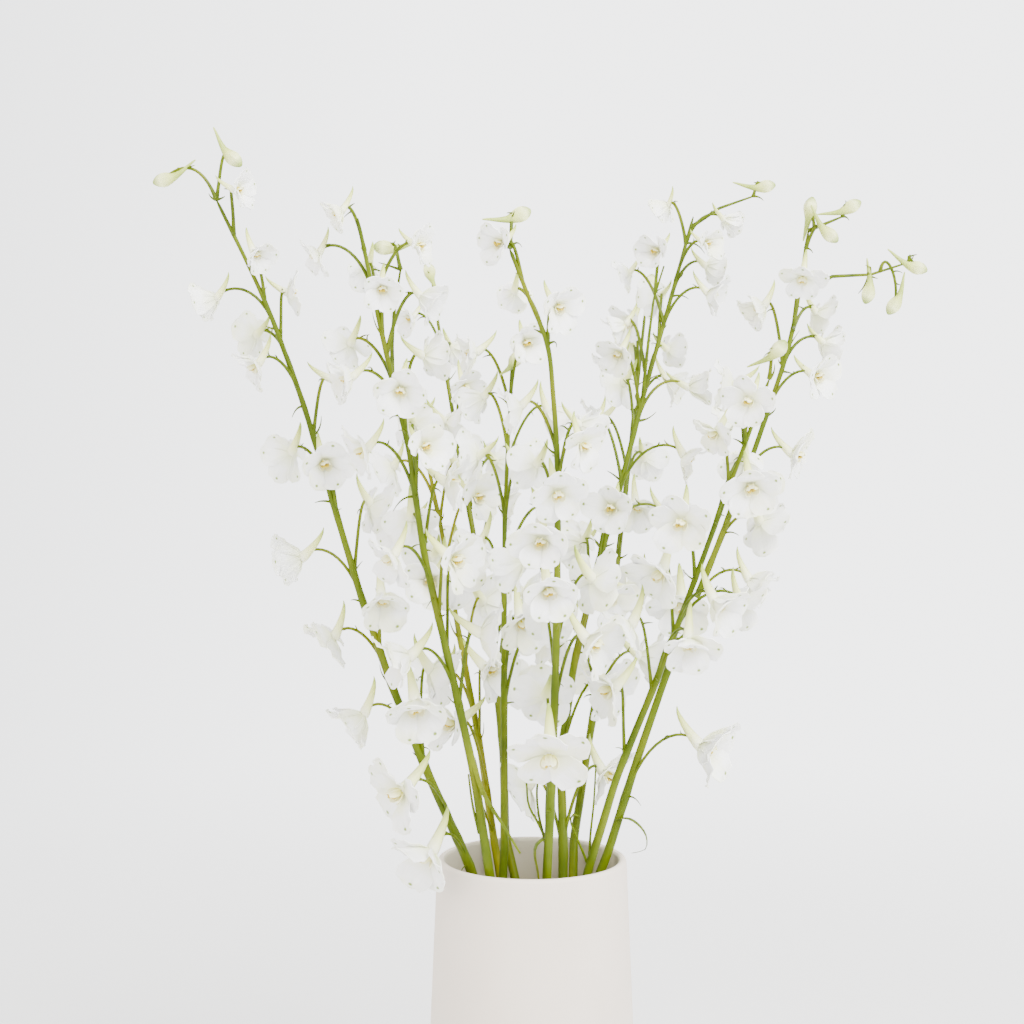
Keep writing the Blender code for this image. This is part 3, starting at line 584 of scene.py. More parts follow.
def makeCeramic(name, inside):
    finish, tree, shader = startFinish(name, ceramicLook["roughness"][0])
    place = objectPlace(tree)
    patches = mottle(tree, place, *ceramicLook["patches"])
    specks = mottle(tree, place, *ceramicLook["specks"])
    # inside, the glaze is painted darker and yellower than outside as painted shade and a painted greenish
    # reflection, and darker still toward the floor as deeper painted shade
    if inside:
        paintedShade = mapRange(tree, heightOf(tree, place), *ceramicLook["paintedShadeDeepening"])
        body = mixColours(tree, paintedShade, ceramicLook["insidePaintedShadeHigh"], ceramicLook["insidePaintedShadeLow"])
    else:
        body = mixColours(tree, patches, ceramicLook["dark"], ceramicLook["light"])
    body = mixColours(tree, mapRange(tree, specks, *ceramicLook["speckRange"]), body, ceramicLook["speck"])
    tree.links.new(body, shader.inputs["Base Color"])
    # shallow pits that the glaze leaves here and there
    cells = tree.nodes.new("ShaderNodeTexVoronoi")
    cells.inputs["Scale"].default_value = ceramicLook["pitScale"]
    tree.links.new(place, cells.inputs["Vector"])
    split = tree.nodes.new("ShaderNodeSeparateColor")
    tree.links.new(cells.outputs["Color"], split.inputs["Color"])
    chosen = mathNode(tree, "GREATER_THAN", split.outputs["Red"], ceramicLook["pitShare"])
    pit = mapRange(tree, cells.outputs["Distance"], *ceramicLook["pitEdge"])
    pit = mathNode(tree, "MULTIPLY", pit, chosen)
    rings = mottle(tree, place, *ceramicLook["rings"])
    relief = mathNode(tree, "ADD", mathNode(tree, "MULTIPLY", specks, ceramicLook["grain"]),
                      mathNode(tree, "MULTIPLY", rings, ceramicLook["ringDepth"]))
    relief = mathNode(tree, "SUBTRACT", relief, mathNode(tree, "MULTIPLY", pit, ceramicLook["pits"]))
    addBump(tree, shader, relief, *ceramicLook["relief"])
    tree.links.new(mapRange(tree, patches, 0, 1, *ceramicLook["roughness"]), shader.inputs["Roughness"])
    return finish


# Each of the three greens is its dark, light and warm colour.
stemLook = {
    "green": ((0.038, 0.062, 0.0005), (0.100, 0.135, 0.0015), (0.155, 0.165, 0.003)),
    "olive": ((0.060, 0.075, 0.0005), (0.155, 0.170, 0.0015), (0.23, 0.20, 0.003)),
    "nub": ((0.20, 0.30, 0.02), (0.38, 0.50, 0.06), (0.55, 0.60, 0.16)),
    "ribs": ((1, 0.05, 1), 13, 1.2), "patches": ((1, 1, 0.35), 55, 1.2), "warmRange": (0.5, 1, 0, 0.6),
    "roughness": (0.5, 0.38), "shine": 0.12, "relief": (0.3, 0.0004),
}


def makeStemSkin(name, dark, light, warm):
    # fine ribs run along each strand, whose own coordinates go round and along it
    finish, tree, shader = startFinish(name, stemLook["roughness"][0], Specular_IOR_Level=stemLook["shine"])
    own = tree.nodes.new("ShaderNodeTexCoord").outputs["UV"]
    ribs = mottle(tree, own, *stemLook["ribs"])
    patches = mottle(tree, objectPlace(tree), *stemLook["patches"])
    body = mixColours(tree, ribs, dark, light)
    body = mixColours(tree, mapRange(tree, patches, *stemLook["warmRange"]), body, warm)
    tree.links.new(body, shader.inputs["Base Color"])
    tree.links.new(mapRange(tree, ribs, 0, 1, *stemLook["roughness"]), shader.inputs["Roughness"])
    addBump(tree, shader, ribs, *stemLook["relief"])
    return finish


sepalLook = {
    "white": (0.95, 0.95, 0.94), "shade": (0.89, 0.895, 0.875), "base": (0.80, 0.84, 0.52),
    "mark": (0.16, 0.24, 0.004), "wash": (0.84, 0.85, 0.52), "tipWash": (0.80, 0.84, 0.50),
    "veins": ((1, 0.12, 1), 26, 1.4), "cream": ((1, 1, 1), 48, 1.5), "creamRange": (0.55, 1, 0, 0.55),
    "tipRange": (0.55, 1.0, 0, 0.4), "baseRange": (0.34, 0.02, 0, 0.85), "markAt": 0.72,
    "markAcross": 0.085, "markAlong": 0.055, "markEdge": (1.6, 0.3), "threadEdge": (0.9, 0.1, 0, 0.22),
    "threadRun": (0.35, 0.78), "roughness": 0.55, "relief": (0.25, 0.0004),
}


def makeSepalSkin():
    # u runs across the sepal, and v from its root to its tip
    finish, tree, shader = startFinish("sepalWhite", sepalLook["roughness"], Subsurface_Weight=0.25,
                                       Subsurface_Scale=0.002, Sheen_Weight=0.08)
    shader.inputs["Subsurface Radius"].default_value = (1, 1, 0.9)
    coords = tree.nodes.new("ShaderNodeTexCoord")
    split = tree.nodes.new("ShaderNodeSeparateXYZ")
    tree.links.new(coords.outputs["UV"], split.inputs["Vector"])
    across, along = split.outputs["X"], split.outputs["Y"]
    veins = mottle(tree, coords.outputs["UV"], *sepalLook["veins"])
    body = mixColours(tree, veins, sepalLook["shade"], sepalLook["white"])
    # here and there a cream wash, and green toward the root
    cream = mottle(tree, objectPlace(tree), *sepalLook["cream"])
    body = mixColours(tree, mapRange(tree, cream, *sepalLook["creamRange"]), body, sepalLook["wash"])
    body = mixColours(tree, mapRange(tree, along, *sepalLook["tipRange"]), body, sepalLook["tipWash"])
    body = mixColours(tree, mapRange(tree, along, *sepalLook["baseRange"]), body, sepalLook["base"])
    side = mathNode(tree, "DIVIDE", mathNode(tree, "SUBTRACT", across, 0.5), sepalLook["markAcross"])
    reach = mathNode(tree, "SUBTRACT", along, sepalLook["markAt"])
    reach = mathNode(tree, "DIVIDE", reach, sepalLook["markAlong"])
    far = mathNode(tree, "MULTIPLY", reach, reach)
    far = mathNode(tree, "ADD", mathNode(tree, "MULTIPLY", side, side), far)
    spot = mapRange(tree, far, *sepalLook["markEdge"])
    # a faint green thread runs from the mark down the middle
    middle = mapRange(tree, mathNode(tree, "ABSOLUTE", side), *sepalLook["threadEdge"])
    below = mathNode(tree, "LESS_THAN", along, sepalLook["markAt"])
    faint = mathNode(tree, "MULTIPLY", middle, mapRange(tree, along, *sepalLook["threadRun"]))
    faint = mathNode(tree, "MULTIPLY", faint, below)
    body = mixColours(tree, mathNode(tree, "MAXIMUM", spot, faint), body, sepalLook["mark"])
    tree.links.new(body, shader.inputs["Base Color"])
    addBump(tree, shader, veins, *sepalLook["relief"])
    return finish


# The colours of spurs, heart petals and buds, each with its place from the root to the tip.
alongLook = {
    "spur": [(0.0, (0.88, 0.88, 0.72)), (0.35, (0.76, 0.78, 0.38)), (0.8, (0.54, 0.59, 0.14)),
             (1.0, (0.28, 0.37, 0.03))],
    "heart": [(0.0, (0.58, 0.58, 0.10)), (0.4, (0.80, 0.76, 0.26)), (1.0, (0.90, 0.88, 0.58))],
    "bud": [(0.0, (0.26, 0.34, 0.03)), (0.3, (0.48, 0.53, 0.13)), (0.75, (0.72, 0.75, 0.38)),
            (1.0, (0.20, 0.29, 0.015))],
    "fine": ((1, 1, 1), 700, 1.2), "fineRange": (0, 1, 0.16, 0), "fineColour": (0.55, 0.62, 0.25),
    "relief": (0.3, 0.0003),
}


def makeAlongSkin(name, colours, roughness):
    finish, tree, shader = startFinish(name, roughness, Subsurface_Weight=0.2, Subsurface_Scale=0.002)
    shader.inputs["Subsurface Radius"].default_value = (1, 1, 0.6)
    along = tree.nodes.new("ShaderNodeAttribute")
    along.attribute_name = "along"
    ramp = tree.nodes.new("ShaderNodeValToRGB")
    tree.links.new(along.outputs["Fac"], ramp.inputs["Fac"])
    for index, (position, colour) in enumerate(colours):
        stop = ramp.color_ramp.elements[index] if index < 2 else ramp.color_ramp.elements.new(position)
        stop.position = position
        stop.color = (*colour, 1)
    fine = mottle(tree, objectPlace(tree), *alongLook["fine"])
    faint = mapRange(tree, fine, *alongLook["fineRange"])
    body = mixColours(tree, faint, ramp.outputs["Color"], alongLook["fineColour"])
    tree.links.new(body, shader.inputs["Base Color"])
    addBump(tree, shader, fine, *alongLook["relief"])
    return finish


antherLook = {
    "dark": (0.42, 0.27, 0.006), "light": (0.80, 0.60, 0.015), "grains": ((1, 1, 1), 1600, 1.5),
    "roughness": 0.7, "relief": (0.6, 0.0003),
}


def makeAntherSkin():
    finish, tree, shader = startFinish("antherGold", antherLook["roughness"])
    grains = mottle(tree, objectPlace(tree), *antherLook["grains"])
    body = mixColours(tree, grains, antherLook["dark"], antherLook["light"])
    tree.links.new(body, shader.inputs["Base Color"])
    addBump(tree, shader, grains, *antherLook["relief"])
    return finish


waterLook = {
    "dark": (0.80, 0.86, 0.80), "light": (0.90, 0.94, 0.90), "ripples": ((1, 1, 1), 35, 1.0),
    "roughness": 0.03, "clearness": 0.9, "relief": (0.1, 0.0008),
}


def makeStillWater():
    finish, tree, shader = startFinish("stillWater", waterLook["roughness"], IOR=1.333,
                                       Transmission_Weight=waterLook["clearness"])
    ripples = mottle(tree, objectPlace(tree), *waterLook["ripples"])
    body = mixColours(tree, ripples, waterLook["dark"], waterLook["light"])
    tree.links.new(body, shader.inputs["Base Color"])
    addBump(tree, shader, ripples, *waterLook["relief"])
    return finish


makeMottleGroup()
outsideGlaze = makeCeramic("ceramicOutside", False)
# the inside glaze carries painted shade and a painted greenish reflection
insidePaintedShadeGlaze = makeCeramic("ceramicInsidePaintedShade", True)
stemGreen = makeStemSkin("stemGreen", *stemLook["green"])
stemOlive = makeStemSkin("stemOlive", *stemLook["olive"])
nubSkin = makeStemSkin("nubGreen", *stemLook["nub"])
sepalWhite = makeSepalSkin()
spurSkin = makeAlongSkin("spurYellowGreen", alongLook["spur"], 0.5)
heartSkin = makeAlongSkin("heartCream", alongLook["heart"], 0.6)
budSkin = makeAlongSkin("budCreamGreen", alongLook["bud"], 0.5)
antherGold = makeAntherSkin()
stillWater = makeStillWater()
print("finishes ready")


# The vase and its water

vase = {
    "mouth": 47.5, "base": 57, "wall": 4, "lip": 2, "footRound": 3, "footRing": 10, "floorRound": 5,
    "floorBend": (2, 1), "outsideRows": (20, 60, 100, 140, 180, 205, 214), "sides": 96,
    "insideRows": (212, 200, 180, 150, 110, 70, 30, 10), "glazeDepth": 3, "floorReach": 12,
}


def vaseRadius(height):
    return vase["base"] + (vase["mouth"] - vase["base"]) * height / bunch["vaseHeight"]


def arcPoints(centreOut, centreUp, radius, fromAngle, toAngle, count):
    turns = np.radians(np.linspace(fromAngle, toAngle, count))
    return [(centreOut + radius * math.cos(turn), centreUp + radius * math.sin(turn)) for turn in turns]


def ringSolid(name, sides, rings):
    # extrudes a filled circle from ring to ring, each (x, y, z, radius), and closes the last one
    deselectAll()
    *place, radius = rings[0]
    bpy.ops.mesh.primitive_circle_add(vertices=sides, radius=radius * mm, fill_type="NGON",
                                      location=Vector(place) * mm)
    piece = bpy.context.object
    piece.name = piece.data.name = name
    bpy.ops.object.transform_apply(location=True, rotation=True, scale=True)
    editAll(piece)
    bpy.ops.mesh.select_mode(type="EDGE")
    for *nextPlace, nextRadius in rings[1:]:
        step = (Vector(nextPlace) - Vector(place)) * mm
        bpy.ops.mesh.extrude_edges_move(TRANSFORM_OT_translate={"value": step})
        grow = nextRadius / radius
        bpy.ops.transform.resize(value=(grow, grow, grow), center_override=Vector(nextPlace) * mm)
        place, radius = nextPlace, nextRadius
    bpy.ops.mesh.edge_face_add()
    bpy.ops.mesh.select_all(action="SELECT")
    bpy.ops.mesh.normals_make_consistent(inside=False)
    bpy.ops.object.mode_set(mode="OBJECT")
    return piece


def turnedSolid(name, sides, profile):
    return ringSolid(name, sides, [(0, 0, up, out) for out, up in profile])


def makeVase():
    lipOut, lipUp = vase["mouth"] - vase["lip"], bunch["vaseHeight"] - vase["lip"]
    floor, (bendIn, bendUp) = bunch["vaseFloor"], vase["floorBend"]
    profile = [(vase["base"] - vase["footRing"], 0)]
    profile += arcPoints(vase["base"] - vase["footRound"], vase["footRound"], vase["footRound"], -90, 0, 6)
    profile += [(vaseRadius(up), up) for up in vase["outsideRows"]]
    profile += arcPoints(lipOut, lipUp, vase["lip"], 0, 180, 11)
    profile += [(vaseRadius(up) - vase["wall"], up) for up in vase["insideRows"]]
    corner = vaseRadius(floor) - vase["wall"]
    profile += [(corner - bendIn, floor + bendUp), (corner - vase["floorRound"], floor)]
    piece = turnedSolid("vaseBody", vase["sides"], profile)
    wear(piece, outsideGlaze, insidePaintedShadeGlaze)
    # faces inside the wall and on the inner floor take the inside glaze with its painted shade
    for face in piece.data.polygons:
        middle = face.center / mm
        outwards = face.normal.x * middle.x + face.normal.y * middle.y
        within = math.hypot(middle.x, middle.y) < vaseRadius(middle.z) - vase["glazeDepth"]
        onFloor = face.normal.z > 0.5 and middle.z < vase["floorReach"]
        face.material_index = 1 if (outwards < 0 and within) or onFloor else 0
    smoothPiece(piece, 40)
    return piece


# The skin's points climb the wall a little: how far in from it, and how high beside the level.
water = {
    "level": 150, "gap": 0.3, "footInset": 5.5, "shoulder": 14, "sides": 64,
    "skin": ((0, -0.48), (0.2, 0), (1.6, -0.8)), "dip": 1.0,
}


def makeWater():
    low, level, gap = bunch["vaseFloor"] + water["gap"], water["level"], water["gap"]
    wide = vaseRadius(low) - vase["wall"] - water["footInset"]
    top = vaseRadius(level) - vase["wall"] - gap
    shoulder = vaseRadius(water["shoulder"]) - vase["wall"] - gap * 2
    profile = [(wide * 0.5, low), (wide, low), (shoulder, water["shoulder"])]
    profile += [(top - inset, level + rise) for inset, rise in water["skin"]]
    profile += [(top * 0.5, level - water["dip"])]
    piece = turnedSolid("waterBody", water["sides"], profile)
    smoothPiece(piece, 50)
    return wear(piece, stillWater)


vasePiece = makeVase()
waterPiece = makeWater()
print("vase and water made")


# What the florets and buds are put together from

# A ruffle is the columns and the rows that it moves, and which way.
blade = {
    "across": 5, "reach": (1.8, 5.4, 9.0, 12.2, 15.0, 17.4, 19.2, 20.0),
    "width": (0.30, 0.66, 0.93, 1.0, 0.91, 0.68, 0.38, 0.10), "half": 8.8, "tilt": 7, "widest": 0.68,
    "edgeLift": 0.9, "liftedRows": (2, 3, 4, 5), "ruffle": 0.55,
    "ruffles": (((0, 1), (3, 5), 1), ((4, 5), (2, 4), 1), ((0, 1), (4, 6), -1), ((4, 5), (3, 5), -1)),
    "cupSway": 12, "turnSway": 9, "sizeRange": (0.88, 1.08), "leanBy": (10, -3, 6, 6, -3),
    "leans": range(0, 64, 9), "thickness": 0.4, "wave": 2.2, "waveSize": 20,
}


def bladeRow(reach, lean):
    # how far out and how high a row of the sepal lies, for its cup in degrees
    hub, half = bunch["hub"], bunch["floretWidth"] / 2
    middle, cup = half * blade["widest"], math.radians(lean)
    tipCup = cup * bunch["tipLean"]
    outs = (0, hub, hub + (middle - hub) * math.cos(cup), hub + (half - hub) * math.cos(tipCup))
    highMiddle, highTip = middle * math.sin(cup), half * math.sin(tipCup)
    share, at = max(0.0, (reach - hub) / (half - hub)), (middle - hub) / (half - hub)
    high = highMiddle * share * (share - 1) / (at * (at - 1)) + highTip * share * (share - at) / (1 - at)
    return float(np.interp(reach, (0, hub, middle, half), outs)), high


def makeSepal(lean):
    rows, columns = len(blade["reach"]), blade["across"] + 1
    deselectAll()
    bpy.ops.mesh.primitive_grid_add(x_subdivisions=blade["across"], y_subdivisions=rows - 1, size=mm,
                                    calc_uvs=True)
    piece = bpy.context.object
    piece.name = piece.data.name = f"sepal{lean}"
    for row, (reach, width) in enumerate(zip(blade["reach"], blade["width"])):
        out, high = bladeRow(reach, lean)
        was = row / (rows - 1) - 0.5
        pickPoints(piece, lambda point: point.index // columns == row)
        bpy.ops.transform.translate(value=(0, (out - was) * mm, high * mm))
        middle = (0, out * mm, high * mm)
        bpy.ops.transform.resize(value=(2 * blade["half"] * width, 1, 1), center_override=middle)
        bpy.ops.transform.rotate(value=math.radians(blade["tilt"]), orient_axis="Y", center_override=middle)
    # the edges roll up a little past the base
    edges = (0, columns - 1)
    lifted = blade["liftedRows"]
    pickPoints(piece, lambda point: point.index % columns in edges and point.index // columns in lifted)
    bpy.ops.transform.translate(value=(0, 0, blade["edgeLift"] * mm))
    # a soft ruffle: rows rise and fall in turn toward their edges
    for sides, steps, lift in blade["ruffles"]:
        pickPoints(piece, lambda point: point.index % columns in sides and point.index // columns in steps)
        bpy.ops.transform.translate(value=(0, 0, lift * blade["ruffle"] * mm))
    bpy.ops.object.mode_set(mode="OBJECT")
    return wear(piece, sepalWhite)


# A ring of a spur, nub or bud is (y, z, radius): +Z faces as its flower does, and +Y is up.
spur = {
    "sides": 8, "length": 17,
    "rings": ((0.0, 0.6, 1.6), (0.1, -0.8, 3.3), (0.9, -3.0, 3.2), (2.5, -6.0, 2.8), (4.3, -9.0, 2.4),
              (6.3, -12.0, 2.0), (8.5, -14.8, 1.55), (10.6, -16.8, 1.05), (12.4, -17.8, 0.5)),
}
nub = {"sides": 7, "rings": ((0.0, 0.2, 0.9), (0.0, -0.6, 1.9), (-0.4, -2.0, 1.7), (-0.8, -3.2, 1.0))}
bud = {
    "sides": 10, "rib": 0.84, "ribbedFrom": -5, "depths": (-18.6, -8, -3, 2, 5.4),
    "shades": (0.15, 0.0, 0.45, 0.8, 1.0),
    "rings": ((-0.2, 5.4, 0.7), (-0.1, 4.6, 1.9), (0.0, 2.8, 3.3), (0.0, 0.4, 4.1), (0.1, -2.0, 3.9),
              (0.4, -4.4, 3.0), (1.1, -6.8, 2.1), (2.4, -9.6, 1.6), (4.2, -12.8, 1.2), (6.2, -16.0, 0.8),
              (7.6, -18.6, 0.4)),
}
# A heart petal is its turn, its rise and its size.
heart = {
    "petals": ((62, 58, 1.0), (118, 58, 1.0), (225, 34, 0.9), (315, 34, 0.9)),
    "reach": (0.8, 2.4, 4.4, 6.2, 7.4), "width": (0.5, 0.8, 1.0, 0.9, 0.4), "half": 2.7, "curl": 0.05,
    "fold": 0.7, "length": 6.6, "thickness": 0.4, "anthers": 11, "antherSize": 0.9, "antherLong": 1.35,
    "antherRing": 2.3, "antherSway": (-0.3, 0.3), "antherOut": (0.2, 1.1), "antherHigh": (3.4, 6.0),
}


def makeSpur():
    piece = ringSolid("spur", spur["sides"], [(0, *ring) for ring in spur["rings"]])
    markAlong(piece, lambda place: -place.z / spur["length"])
    smoothPiece(piece)
    return wear(piece, spurSkin)


def makeNub():
    piece = ringSolid("nub", nub["sides"], [(0, *ring) for ring in nub["rings"]])
    smoothPiece(piece)
    return wear(piece, nubSkin)


def makeBud():
    piece = ringSolid("bud", bud["sides"], [(0, *ring) for ring in bud["rings"]])
    activate(piece)
    pickPoints(piece, lambda point: point.index % 2 == 1 and point.co.z > bud["ribbedFrom"] * mm
               and point.index >= bud["sides"])
    bpy.ops.transform.resize(value=(bud["rib"], bud["rib"], 1), center_override=(0, 0, 0))
    bpy.ops.object.mode_set(mode="OBJECT")
    markAlong(piece, lambda place: float(np.interp(place.z, bud["depths"], bud["shades"])))
    smoothPiece(piece, 60)
    return wear(piece, budSkin)


def makeHeartPetal(turn, rise, size):
    deselectAll()
    rows = len(heart["reach"])
    bpy.ops.mesh.primitive_grid_add(x_subdivisions=2, y_subdivisions=rows - 1, size=mm)
    petal = bpy.context.object
    for row, (reach, width) in enumerate(zip(heart["reach"], heart["width"])):
        was = row / (rows - 1) - 0.5
        pickPoints(petal, lambda point: point.index // 3 == row)
        bpy.ops.transform.translate(value=(0, (reach - was) * mm, heart["curl"] * reach * reach * mm))
        bpy.ops.transform.resize(value=(2 * heart["half"] * width, 1, 1), center_override=(0, reach * mm, 0))
    pickPoints(petal, lambda point: point.index % 3 == 1 and point.index > 3)
    bpy.ops.transform.translate(value=(0, 0, -heart["fold"] * mm))
    bpy.ops.object.mode_set(mode="OBJECT")
    markAlong(petal, lambda place: place.y / heart["length"])
    petal.modifiers.new("thick", "SOLIDIFY").thickness = heart["thickness"] * mm
    applyAll(petal)
    petal.data.transform(Matrix.Rotation(math.radians(turn - 90), 4, "Z")
                         @ Matrix.Rotation(math.radians(rise), 4, "X") @ Matrix.Scale(size, 4))
    return petal


def makeHeart():
    piece = joinAs("heart", [makeHeartPetal(*petal) for petal in heart["petals"]])
    smoothPiece(piece, 60)
    return wear(piece, heartSkin)


def makeAnthers():
    draw = random.Random(bunch["seed"])
    parts = []
    for number in range(heart["anthers"]):
        turn = 2 * math.pi * number / heart["anthers"] + draw.uniform(*heart["antherSway"])
        out = heart["antherRing"] * draw.uniform(*heart["antherOut"])
        high = draw.uniform(*heart["antherHigh"])
        place = (out * math.cos(turn) * mm, out * math.sin(turn) * mm, high * mm)
        deselectAll()
        bpy.ops.mesh.primitive_ico_sphere_add(subdivisions=1, radius=heart["antherSize"] * mm, location=place)
        bpy.ops.transform.resize(value=(1, 1, heart["antherLong"]))
        bpy.ops.object.transform_apply(location=True, rotation=True, scale=True)
        parts.append(bpy.context.object)
    piece = joinAs("anthers", parts)
    smoothPiece(piece)
    return wear(piece, antherGold)


sepals = {lean: makeSepal(lean) for lean in blade["leans"]}
spurSource, nubSource, budSource = makeSpur(), makeNub(), makeBud()
heartSource, antherSource = makeHeart(), makeAnthers()
print("sepals, spurs, hearts and buds modelled")


# Stems, stalks and bracts

# A tuple of shares multiplies the radius it is named for, at the start and at the end.
thread = {
    "stalkRadius": 0.72, "stalkPoints": 14, "stalkTaper": (1.25, 0.95), "stalkFoot": (1.7, 1.35),
    "forkRadius": 1.1, "forkTaper": (1, 0.45), "forkStep": 4, "swelling": 0.12, "swellingRun": 4.5,
    "lowPoints": 40, "axisSkip": 8, "axisStep": 3, "axisPull": 20, "tips": (0.8, 0.4),
    "bractLength": (4, 13), "bractDroop": (-0.3, 0.5), "bractRadius": 0.55, "bractFoot": 1.3,
    "bractTip": 0.14, "hairs": ((0.55, 5), (0.68, 4)), "hairSway": (0.8, 1.5), "hairDroop": 0.2,
    "hairPoints": 7, "hairSlow": 0.25, "hairCurl": 0.35, "stripWidth": 4.5, "stripThickness": 0.8,
    "stripTaper": (1, 0.35), "stripStep": 2.5, "whipRadius": 0.75, "whipTaper": (1, 0.6), "leafPull": 4,
}


# Thin leaf stalks that stand up from the mouth into the flowers, as points in millimetres.
whips = {
    "stem_centre_front": [[(6, -36, 238), (2, -38, 247), (-2, -40, 255), (-3, -41, 266)],
                          [(6, -36, 236), (3, -37, 249), (2, -38, 262), (4, -39, 275)],
                          [(7, -36, 240), (6.5, -39, 252), (7, -41, 268)]],
    "stem_right_front": [[(28, -21, 222), (28.5, -22, 236), (30, -24, 252), (31, -26, 272)],
                         [(27, -21, 222), (21, -22, 237), (18.5, -23, 244), (20, -24, 247), (23, -24, 246)]],
    "stem_left_front": [[(-26, -35, 240), (-29, -37, 254), (-31, -40, 270)]],
    "stem_left_back": [[(-20, 29, 226), (-26, 22, 244), (-29, 18, 262)]],
}


def drawStrands(name, strands, roundness, finish, profile=None):
    # each strand is (points, radii) in millimetres, and becomes a tube
    deselectAll()
    bpy.ops.object.add(type="CURVE")
    piece = bpy.context.object
    piece.name = piece.data.name = name
    lines = piece.data
    lines.dimensions, lines.twist_mode, lines.use_fill_caps = "3D", "MINIMUM", True
    if profile:
        lines.bevel_mode, lines.bevel_object = "OBJECT", profile
    else:
        lines.bevel_depth, lines.bevel_resolution = mm, roundness
    for points, radii in strands:
        spline = lines.splines.new("POLY")
        spline.points.add(len(points) - 1)
        for point, place, radius in zip(spline.points, points, radii):
            point.co = (*(np.array(place, float) * mm), 1)
            point.radius = radius
    activate(piece)
    bpy.ops.object.convert(target="MESH")
    piece = bpy.context.object
    smoothPiece(piece, 50)
    return wear(piece, finish)


def tapered(points, radius, shares=(1, 1)):
    return points, list(np.linspace(radius * shares[0], radius * shares[1], len(points)))


def sway(draw, spread, low, high):
    return np.array([draw.uniform(-spread, spread), draw.uniform(-spread, spread), draw.uniform(low, high)])


def hairStrand(root, heading, length, droop, radius, draw):
    # a hair leaves its root along heading, and curls down or aside
    side = unit(np.cross(heading, sway(draw, 1, -0.4, 1)))
    points = []
    for share in np.linspace(0, 1, thread["hairPoints"]):
        points.append(root + heading * length * share * (1 - thread["hairSlow"] * share)
                      + side * length * thread["hairCurl"] * share**2
                      - np.array([0, 0, 1]) * droop * length * share**2)
    return points, list(np.linspace(radius, thread["bractTip"], len(points)))


def planStalks(plan, own, draw):
    # The stalk of each floret and bud with a bract at its root and two hairs: roots, stalks and hairs.
    roots, stalks, hairs = [], [], []
    hung = [(flower, bunch["floretDrop"] * flower["size"]) for flower in own]
    hung += [(flower, bunch["budDrop"]) for flower in plan["budPlaces"]]
    for flower, lower in hung:
        root = rootOf(plan, flower["centre"], lower)
        roots.append(root)
        points = pedicelPoints(root, flower, thread["stalkPoints"])
        points, radii = tapered(points, thread["stalkRadius"], thread["stalkTaper"])
        radii[:2] = [thread["stalkRadius"] * share for share in thread["stalkFoot"]]
        stalks.append((points, radii))
        outwards = unit((flower["centre"] - root) * np.array([1, 1, 0.2]))
        heading = unit(outwards + sway(draw, 0.6, -0.2, 0.7))
        hairs.append(hairStrand(root, heading, draw.uniform(*thread["bractLength"]),
                                draw.uniform(*thread["bractDroop"]),
                                thread["bractRadius"] * thread["bractFoot"], draw))
        for place, length in thread["hairs"]:
            heading = unit(sway(draw, 1, -0.1, 1))
            hairs.append(hairStrand(points[int(place * len(points))], heading,
                                    length * draw.uniform(*thread["hairSway"]), thread["hairDroop"],
                                    thread["bractRadius"], draw))
    return roots, stalks, hairs


def stemStrand(plan, roots):
    # The stem runs straight to the mouth and then along its route, a little thicker beside each root.
    foot, mouth = plan["axis"][0], plan["above"][0]
    axis = [foot + (mouth - foot) * share for share in np.linspace(0, 1, thread["lowPoints"], endpoint=False)]
    spaced = [*plan["above"][::thread["axisSkip"]], plan["above"][-1]]
    axis += list(thinned(smoothRoute(spaced, unit(mouth - foot) * thread["axisPull"]), thread["axisStep"]))
    radii = []
    for place in axis:
        close = min(float(np.linalg.norm(place - root)) for root in roots)
        swollen = 1 + thread["swelling"] * math.exp(-(close / thread["swellingRun"])**2)
        radii.append(stemThickness(plan, place[2]) * swollen)
    radii[-2:] = [radii[-1] * share for share in thread["tips"]]
    return axis, radii


def makeGreens(name, plan, own, finish):
    roots, stalks, hairs = planStalks(plan, own, random.Random(name))
    leave = np.array([0, 0, thread["leafPull"]])
    forks = [thinned(fork, thread["forkStep"]) for fork in plan["forkAxes"]]
    slender = [thinned(smoothRoute(points, leave), thread["axisStep"]) for points in whips.get(name, [])]
    groups = (
        ("stem", [stemStrand(plan, roots)], 3),
        ("forks", [tapered(fork, thread["forkRadius"], thread["forkTaper"]) for fork in forks], 2),
        ("stalks", stalks, 1),
        ("hairs", hairs, 0),
        ("whips", [tapered(points, thread["whipRadius"], thread["whipTaper"]) for points in slender], 1),
    )
    parts = [drawStrands(f"{name}.{kind}", strands, roundness, finish)
             for kind, strands, roundness in groups if strands]
    for number, points in enumerate(strips.get(name, [])):
        strand = tapered(thinned(smoothRoute(points, leave), thread["stripStep"]), 1, thread["stripTaper"])
        parts.append(drawStrands(f"{name}.strip{number}", [strand], 0, finish, stripProfile))
    return joinAs("greens_" + name, parts)


def makeStripProfile():
    deselectAll()
    bpy.ops.curve.primitive_bezier_circle_add(radius=mm / 2)
    profile = bpy.context.object
    profile.name = "stripOutline"
    profile.data.resolution_u = 3
    bpy.ops.transform.resize(value=(thread["stripWidth"], thread["stripThickness"], 1))
    bpy.ops.object.transform_apply(location=False, rotation=False, scale=True)
    return profile


def placeOf(flower):
    matrix = Matrix(frameOf(flower).tolist()).to_4x4() @ Matrix.Scale(flower["size"], 4)
    matrix.translation = Vector(flower["centre"] * mm)
    return matrix


